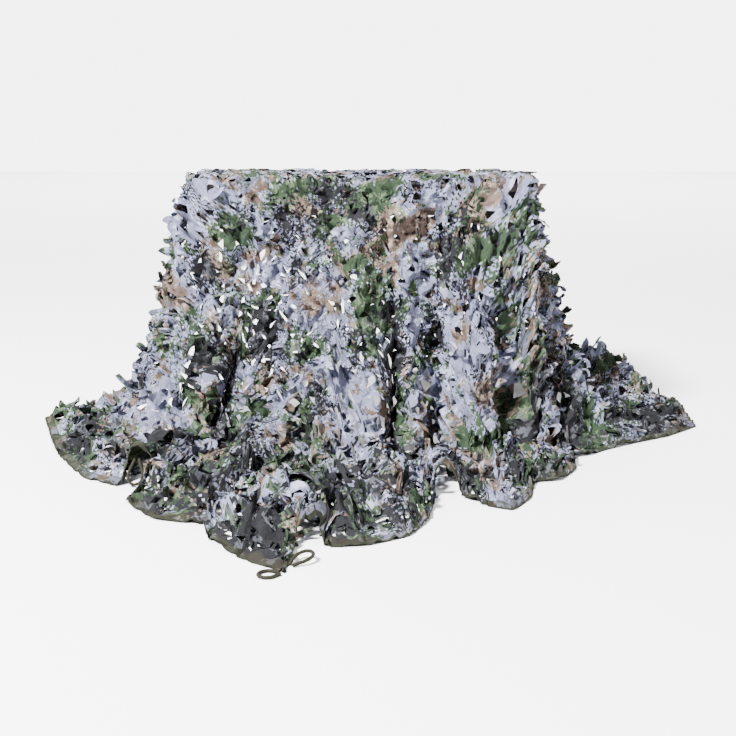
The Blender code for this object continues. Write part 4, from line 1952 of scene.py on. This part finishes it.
    def grid_points(
        self, outer: np.ndarray, squares: np.ndarray
    ) -> tuple[np.ndarray, np.ndarray, np.ndarray]:
        """The points of the grid that the net's faces use.

        Args:
            outer: the grid points round each cell.
            squares: the grid squares that hold no leaf.

        Returns:
            The points' places on the cut net, and which of them lie round each cell and at
            each square's corners.
        """
        wide = len(self.y)
        corners = squares[:, None, :2] + np.array([(0, 0), (1, 0), (1, 1), (0, 1)])
        codes = np.concatenate([(outer @ (wide, 1)).ravel(), (corners @ (wide, 1)).ravel()])
        used, ids = np.unique(codes, return_inverse=True)
        cut = self.swayed(np.stack([self.x[used // wide], self.y[used % wide]], axis=1))
        count = len(outer) * RIM
        return cut, ids[:count].reshape(-1, RIM), ids[count:].reshape(-1, 4)

    def stood(
        self, shapes: LeafShapes, leaf_cut: np.ndarray, aside: np.ndarray, along: np.ndarray,
        hinges: np.ndarray
    ) -> np.ndarray:
        """Settles the leaves by their weight, and stands them out of the net.

        Args:
            shapes: the leaves' shapes, which are changed.
            leaf_cut: where their points lie on the cut net.
            aside: the points across each leaf.
            along: the points along each leaf.
            hinges: the places of their hinge points, as (leaves, 5, 3).

        Returns:
            The places of all the leaves' points.
        """
        lean = np.stack([np.cos(shapes.skew), np.sin(shapes.skew)], axis=1)
        root = leaf_cut[:, 0, MIDDLE_POINT]
        slope_x, slope_y = slopes_of(lambda cut: self.hung(cut)[0], root, self.slope_step)
        side = slope_x * lean[:, :1] + slope_y * lean[:, 1:]
        ahead = slope_y * lean[:, :1] - slope_x * lean[:, 1:]
        self.settle(shapes, root, side, ahead, hinges[:, MIDDLE_POINT, 2])
        return self.posed(shapes, aside, along, hinges, side, ahead)

    def strip_of(self, column: np.ndarray) -> np.ndarray:
        """The strip that each column of the grid belongs to."""
        strip = (column - self.hem_steps) * self.strips // (self.columns * CELL_LONG)
        return np.clip(strip, 0, self.strips - 1)

    def build(self) -> list[bpy.types.Object]:
        """Makes the net, as strips side by side along it.

        Returns:
            The strips.
        """
        left, low, quarters = self.cells()
        shapes = LeafShapes.drawn(quarters, self.leaf_width / self.leaf_room, self.seed + 1)
        lower, upper = self.y[low], self.y[low + CELL_WIDE]
        middle = np.stack([self.x[left + CELL_LONG // 2], (lower + upper) / 2], axis=1)
        aside, along = self.leaf_grid(shapes)
        leaf_cut = self.cut_points(shapes, middle, aside, along)
        hole_cut = self.hole_rims(shapes, middle, quarters, aside, along)
        squares = self.plain_squares()
        outer = self.outer_rings(left, low, quarters)
        grid_cut, outer_ids, square_ids = self.grid_points(outer, squares)

        web_cut = np.concatenate([grid_cut, hole_cut.reshape(-1, 2)])
        web, _ = self.hung(web_cut)
        hole_ids = len(grid_cut) + np.arange(len(left) * RIM).reshape(-1, RIM)
        hinges = hole_ids[:, :POINTS_ACROSS]
        leaves = self.stood(shapes, leaf_cut, aside, along, web[hinges])
        places = self.drape.kept_clear(np.concatenate([web, leaves[:, 1:].reshape(-1, 3)]))
        cuts = np.concatenate([web_cut, leaf_cut[:, 1:].reshape(-1, 2)])

        leaf_ids = len(web) + np.arange(len(left) * LEAF_ROWS * POINTS_ACROSS)
        leaf_ids = leaf_ids.reshape(-1, LEAF_ROWS, POINTS_ACROSS)
        grid = np.concatenate([hinges[:, None], leaf_ids], axis=1)
        following = np.roll(np.arange(RIM), -1)
        rims = np.stack(
            [outer_ids, outer_ids[:, following], hole_ids[:, following], hole_ids], axis=-1
        )
        blades = np.stack(
            [grid[:, :-1, :-1], grid[:, :-1, 1:], grid[:, 1:, 1:], grid[:, 1:, :-1]], axis=-1
        )
        made = []
        for strip in range(self.strips):
            mine, plain = self.strip_of(left) == strip, self.strip_of(squares[:, 0]) == strip
            cut_faces = [rims[mine].reshape(-1, 4), blades[mine].reshape(-1, 4)]
            faces = np.concatenate([*cut_faces, square_ids[plain]])
            hem_faces = np.zeros(len(faces), dtype=bool)
            hem_faces[len(faces) - plain.sum() :] = squares[plain, 2].astype(bool)
            made.append(self.strip(strip, places, cuts, faces, hem_faces))
        return made

    def settle(
        self, shapes: LeafShapes, root: np.ndarray, side: np.ndarray, ahead: np.ndarray, high: np.ndarray
    ) -> None:
        """Lets the leaves lie as their weight makes them.

        Args:
            shapes: the leaves' shapes, which are changed.
            root: where their hinges are on the cut net.
            side: how the surface runs across each leaf.
            ahead: how it runs along each leaf.
            high: how high each leaf's hinge is.
        """
        weight, top = self.leaf_weight, self.drape.table.z
        draw = np.random.default_rng(self.seed + 2)
        up = unit(ahead)[:, 2]
        outward = unit(np.cross(side, ahead))
        level = smooth(*weight.level_from, outward[:, 2])
        shapes.lift = np.maximum(shapes.lift, np.radians(weight.least_lift))
        flopped = (up > weight.flop_slope) & (draw.random(len(up)) < weight.flop_share)
        curled = np.maximum(shapes.curl, np.radians(weight.flop_curl))
        shapes.curl = np.where(flopped, curled, shapes.curl)
        sunk = (level < weight.sink_level) & (high < top - weight.sink_drop)
        sunk &= draw.random(len(up)) < weight.sink_share
        shapes.lift = np.where(sunk, -weight.sink_lift * shapes.lift, shapes.lift)
        edge = smooth(top - weight.edge_low, top - weight.edge_high, high)
        shapes.lift *= 1 - np.maximum(weight.level_press * level, weight.edge_press * edge)
        shapes.curl *= 1 - np.maximum(weight.level_uncurl * level, weight.edge_press * edge)
        shapes.roll *= 1 - weight.edge_untwist * edge
        shapes.lift *= smooth(weight.hem_from, weight.hem_to, self.inward(root))

    def strip(
        self, number: int, places: np.ndarray, cuts: np.ndarray, faces: np.ndarray, hem_faces: np.ndarray
    ) -> bpy.types.Object:
        """Makes one strip of the net as a piece with its thickness.

        Args:
            number: which strip, counted from the left corner's end.
            places: the places of all the net's points.
            cuts: where they lie on the cut net.
            faces: the strip's faces.
            hem_faces: which of them are the hem's.

        Returns:
            The strip.
        """
        used, ids = np.unique(faces, return_inverse=True)
        faces = ids.reshape(faces.shape)
        mesh = bpy.data.meshes.new(f"net_strip_{number + 1}")
        mesh.from_pydata(places[used].tolist(), [], faces.tolist())
        layer = mesh.uv_layers.new(name="cut")
        corners = np.array([(self.drape.long / 2, self.drape.short / 2)])
        layer.data.foreach_set("uv", (cuts[used][faces.ravel()] + corners).ravel())
        mesh.polygons.foreach_set("material_index", np.where(hem_faces, 2, 0).astype(np.int32))
        mesh.shade_smooth()
        piece = bpy.data.objects.new(f"net_strip_{number + 1}", mesh)
        bpy.context.scene.collection.objects.link(piece)
        hem = piece.vertex_groups.new(name="hem")
        hem.add(np.unique(faces[hem_faces]).tolist(), 1.0, "REPLACE")
        wall = piece.modifiers.new("cloth", "SOLIDIFY")
        wall.thickness = self.hem_cloth
        wall.offset = -1.0
        wall.vertex_group = hem.name
        wall.thickness_vertex_group = self.cloth / self.hem_cloth
        wall.material_offset = 1
        wall.material_offset_rim = 1
        bpy.context.view_layer.objects.active = piece
        bpy.ops.object.select_all(action="DESELECT")
        piece.select_set(True)
        bpy.ops.object.modifier_apply(modifier=wall.name)
        bpy.ops.object.shade_smooth_by_angle(angle=math.radians(self.smooth_within))
        return piece

    def dress(self, pieces: Sequence[bpy.types.Object], groups: NodeGroups) -> None:
        """Args:
            pieces: the strips.
            groups: the shared node groups.
        """
        printed = CamouflagePrint()
        face = printed.material(groups)
        back = ClothBack(printed).material(groups)
        band = HemCloth(printed, self.drape.long, self.drape.short).material(groups)
        for piece in pieces:
            for material in (face, back, band, back):
                piece.data.materials.append(material)
            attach(piece, "root")
            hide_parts("net")


# ---------------------------------------------------------------- the tie loops


class LoopRow(NamedTuple):
    """A tie loop, whose two ends lie where it leaves the hem.

    reach is how far out it goes as seen from above, turn the way it points, in degrees from +X,
    and near_rise and far_rise how high its two ends and its far end lie.
    """

    name: str
    x: float
    y: float
    reach: float
    turn: float
    near_rise: float
    far_rise: float


@dataclass
class TieLoops:
    """The cord loops at the hem, each a round braid with both ends at the cloth.

    A loop's ends stop hem_gap short of the hem, each ends_aside from its middle. round_end is
    half of its far end, each point as how far short of the loop's length it lies, and how far to
    one side of its middle. Its path has as many points as rings.
    """

    table: Vector
    diameter: float = 0.0080
    hem_gap: float = 0.0012
    ends_aside: float = 0.0055
    round_end: tuple[tuple[float, float], ...] = (
        (0.0180, 0.0180), (0.0090, 0.0156), (0.0024, 0.0090), (0.0, 0.0),
    )
    sides: int = 12
    rings: int = 40
    rows: tuple[LoopRow, ...] = (
        LoopRow("tie_loop_front_long", -0.1390, -1.3600, 0.058, 46, 0.0, 0.014),
        LoopRow("tie_loop_front_short", -0.1500, -1.3980, 0.045, -166, 0.0, 0.0),
        LoopRow("tie_loop_left", -0.5760, -0.7700, 0.048, -88, 0.058, 0.004),
    )

    def route(self, row: LoopRow) -> np.ndarray:
        """The middle line of one loop, as points of a smooth curve.

        Args:
            row: the loop.

        Returns:
            The points in order, in the model's frame.
        """
        turn = math.radians(row.turn)
        start_gap = 0.5 * self.diameter + self.hem_gap
        length = math.hypot(row.reach, row.far_rise - row.near_rise)
        outline = [(0.0, self.ends_aside), *((length - short, aside) for short, aside in self.round_end)]
        outline += [(along, -aside) for along, aside in outline[-2::-1]]
        points = []
        for along, aside in outline:
            share = along / length
            out = start_gap + share * row.reach
            x = self.table.x + row.x + out * math.cos(turn) - aside * math.sin(turn)
            y = self.table.y + row.y + out * math.sin(turn) + aside * math.cos(turn)
            z = self.diameter / 2 + row.near_rise * (1 - share) + row.far_rise * share
            points.append((x, y, z))
        chosen = np.array(points)
        knots = travelled(chosen)
        return through(knots, chosen, knots[-1] * np.linspace(0, 1, self.rings), looseness=1.0)

    def cord(self, name: str, path: np.ndarray) -> bpy.types.Object:
        """A closed tube along a path, with its braid's map.

        Args:
            name: the piece's name.
            path: the middle line.

        Returns:
            The tube.
        """
        ahead = unit(np.gradient(path, axis=0))
        across = unit(np.cross(ahead, (0.0, 0.0, 1.0)))
        above = np.cross(across, ahead)
        turns = np.linspace(0, 2 * math.pi, self.sides, endpoint=False)
        ring = self.diameter / 2 * (
            np.cos(turns)[None, :, None] * across[:, None] + np.sin(turns)[None, :, None] * above[:, None]
        )
        points = (path[:, None] + ring).reshape(-1, 3)
        points = np.vstack([points, path[0], path[-1]])
        far = travelled(path)
        faces, maps = [], []
        for r in range(len(path) - 1):
            for s in range(self.sides):
                n = (s + 1) % self.sides
                a, b = r * self.sides, (r + 1) * self.sides
                faces.append((a + s, b + s, b + n, a + n))
                left, right = s / self.sides, (s + 1) / self.sides
                maps += [(left, far[r]), (left, far[r + 1]), (right, far[r + 1]), (right, far[r])]
        last = (len(path) - 1) * self.sides
        for s in range(self.sides):
            n = (s + 1) % self.sides
            faces += [(len(points) - 2, s, n), (len(points) - 1, last + n, last + s)]
            maps += [(0.0, 0.0)] * 6
        mesh = bpy.data.meshes.new(name)
        mesh.from_pydata(points.tolist(), [], faces)
        mesh.uv_layers.new(name="braid").data.foreach_set("uv", np.array(maps).ravel())
        mesh.shade_smooth()
        piece = bpy.data.objects.new(name, mesh)
        bpy.context.scene.collection.objects.link(piece)
        return piece

    def build(self) -> None:
        braid = BraidedCord().material()
        for row in self.rows:
            path = self.route(row)
            piece = self.cord(row.name + "_braid", path)
            piece.data.materials.append(braid)
            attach(piece, "root")
            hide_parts(row.name)
            LOG.info("tie loop %s", row.name)


# ---------------------------------------------------------------- the table


@dataclass
class Table:
    """The plain table under the net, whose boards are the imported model's own.

    grain_along names each board's node, and the axis that its grain runs along.
    """

    grain_along: tuple[tuple[str, int], ...] = (
        ("table_top", 0),
        ("table_apron_front", 0),
        ("table_apron_back", 0),
        ("table_apron_left", 1),
        ("table_apron_right", 1),
        ("table_leg_front_left", 2),
        ("table_leg_front_right", 2),
        ("table_leg_back_left", 2),
        ("table_leg_back_right", 2),
    )

    def dress(self) -> None:
        """Stains every board, with its grain along it."""
        stains = [StainedBoard().material(f"stained board {axis}", i) for i, axis in enumerate("xyz")]
        for name, along in self.grain_along:
            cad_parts[name].material_slots[0].material = stains[along]
            LOG.info("table piece %s", name)


# ---------------------------------------------------------------- the studio


class Lamp(NamedTuple):
    """A soft light: where it hangs, the point it faces, its two sides and its power in watts."""

    name: str
    place: tuple[float, float, float]
    aim: tuple[float, float, float]
    size: tuple[float, float]
    power: float


@dataclass
class Studio:
    """The floor, the lights and the camera.

    camera_from_table is the camera's place from the table's middle, and its height off the
    floor. It looks down by pitch_down, in degrees.
    """

    table: Vector
    camera_from_table: tuple[float, float, float] = (0.026, -3.50, 0.87)
    pitch_down: float = 11.73
    lens: float = 53.2
    sensor: float = 36.0
    floor_size: float = 60.0
    sky: Colour = (0.93, 0.92, 0.95)
    sky_strength: float = 0.09
    backdrop_strength: float = 6.2
    lamps: tuple[Lamp, ...] = (
        Lamp("key", (-3.4, -3.7, 5.3), (0.0, -0.2, 0.3), (1.2, 1.2), 4000.0),
        Lamp("fill", (4.4, -2.6, 2.8), (0.0, -0.2, 0.3), (2.6, 2.6), 190.0),
        Lamp("ceiling", (0.0, 26.0, 9.0), (0.0, 26.01, 0.0), (30.0, 44.0), 36000.0),
    )

    def floor(self) -> None:
        """Lays a plain floor."""
        bpy.ops.object.select_all(action="DESELECT")
        bpy.ops.mesh.primitive_plane_add(size=self.floor_size, location=(0, 0, 0))
        floor = bpy.context.object
        floor.name = "floor"
        floor.data.materials.append(PaleFloor().material())

    def light(self, row: Lamp) -> None:
        """Hangs one soft light.

        Args:
            row: the light.
        """
        lamp = bpy.data.lights.new(row.name, "AREA")
        lamp.shape = "RECTANGLE"
        lamp.size, lamp.size_y = row.size
        lamp.energy = row.power
        obj = bpy.data.objects.new(row.name, lamp)
        obj.location = row.place
        obj.rotation_euler = (Vector(row.aim) - Vector(row.place)).to_track_quat("-Z", "Y").to_euler()
        bpy.context.scene.collection.objects.link(obj)

    def camera(self) -> None:
        """Stands the camera in front of the net."""
        lens = bpy.data.cameras.new("camera")
        lens.lens = self.lens
        lens.sensor_width = self.sensor
        lens.sensor_fit = "HORIZONTAL"
        camera = bpy.data.objects.new("camera", lens)
        x, y, z = self.camera_from_table
        camera.location = (self.table.x + x, self.table.y + y, z)
        camera.rotation_euler = (math.radians(90 - self.pitch_down), 0, 0)
        bpy.context.scene.collection.objects.link(camera)
        bpy.context.scene.camera = camera

    def surroundings(self) -> None:
        """Lights the studio softly from all round, with a pale backdrop for the camera alone."""
        world = bpy.data.worlds.new("studio")
        world.use_nodes = True
        nodes = Nodes(world.node_tree)
        lit, seen = nodes.add("Background"), nodes.add("Background")
        for node, strength in ((lit, self.sky_strength), (seen, self.backdrop_strength)):
            node.inputs["Color"].default_value = (*self.sky, 1.0)
            node.inputs["Strength"].default_value = strength
        mixed = nodes.add("MixShader")
        nodes.link(nodes.add("LightPath").outputs["Is Camera Ray"], mixed.inputs[0])
        nodes.link(lit.outputs[0], mixed.inputs[1])
        nodes.link(seen.outputs[0], mixed.inputs[2])
        nodes.link(mixed.outputs[0], nodes.add("OutputWorld").inputs["Surface"])
        bpy.context.scene.world = world

    def build(self) -> None:
        """Sets up the studio."""
        self.floor()
        for row in self.lamps:
            self.light(row)
        self.surroundings()
        self.camera()


def main() -> None:
    """Builds the net, its loops, the table and the studio."""
    logging.basicConfig(level=logging.INFO, format="%(message)s")
    low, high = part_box("table_top")
    table = Vector(((low[0] + high[0]) / 2, (low[1] + high[1]) / 2, high[2]))
    half = ((high[0] - low[0]) / 2, (high[1] - low[1]) / 2)
    Studio(table).build()
    TieLoops(table).build()
    drape = DrapedNet(table, half)
    groups = NodeGroups(drape.long, drape.short)
    net = LeafNet(drape)
    pieces = net.build()
    net.dress(pieces, groups)
    for piece in pieces:
        piece.data.calc_loop_triangles()
        LOG.info("%s: %d triangles", piece.name, len(piece.data.loop_triangles))
    Table().dress()


if __name__ == "__main__":
    main()
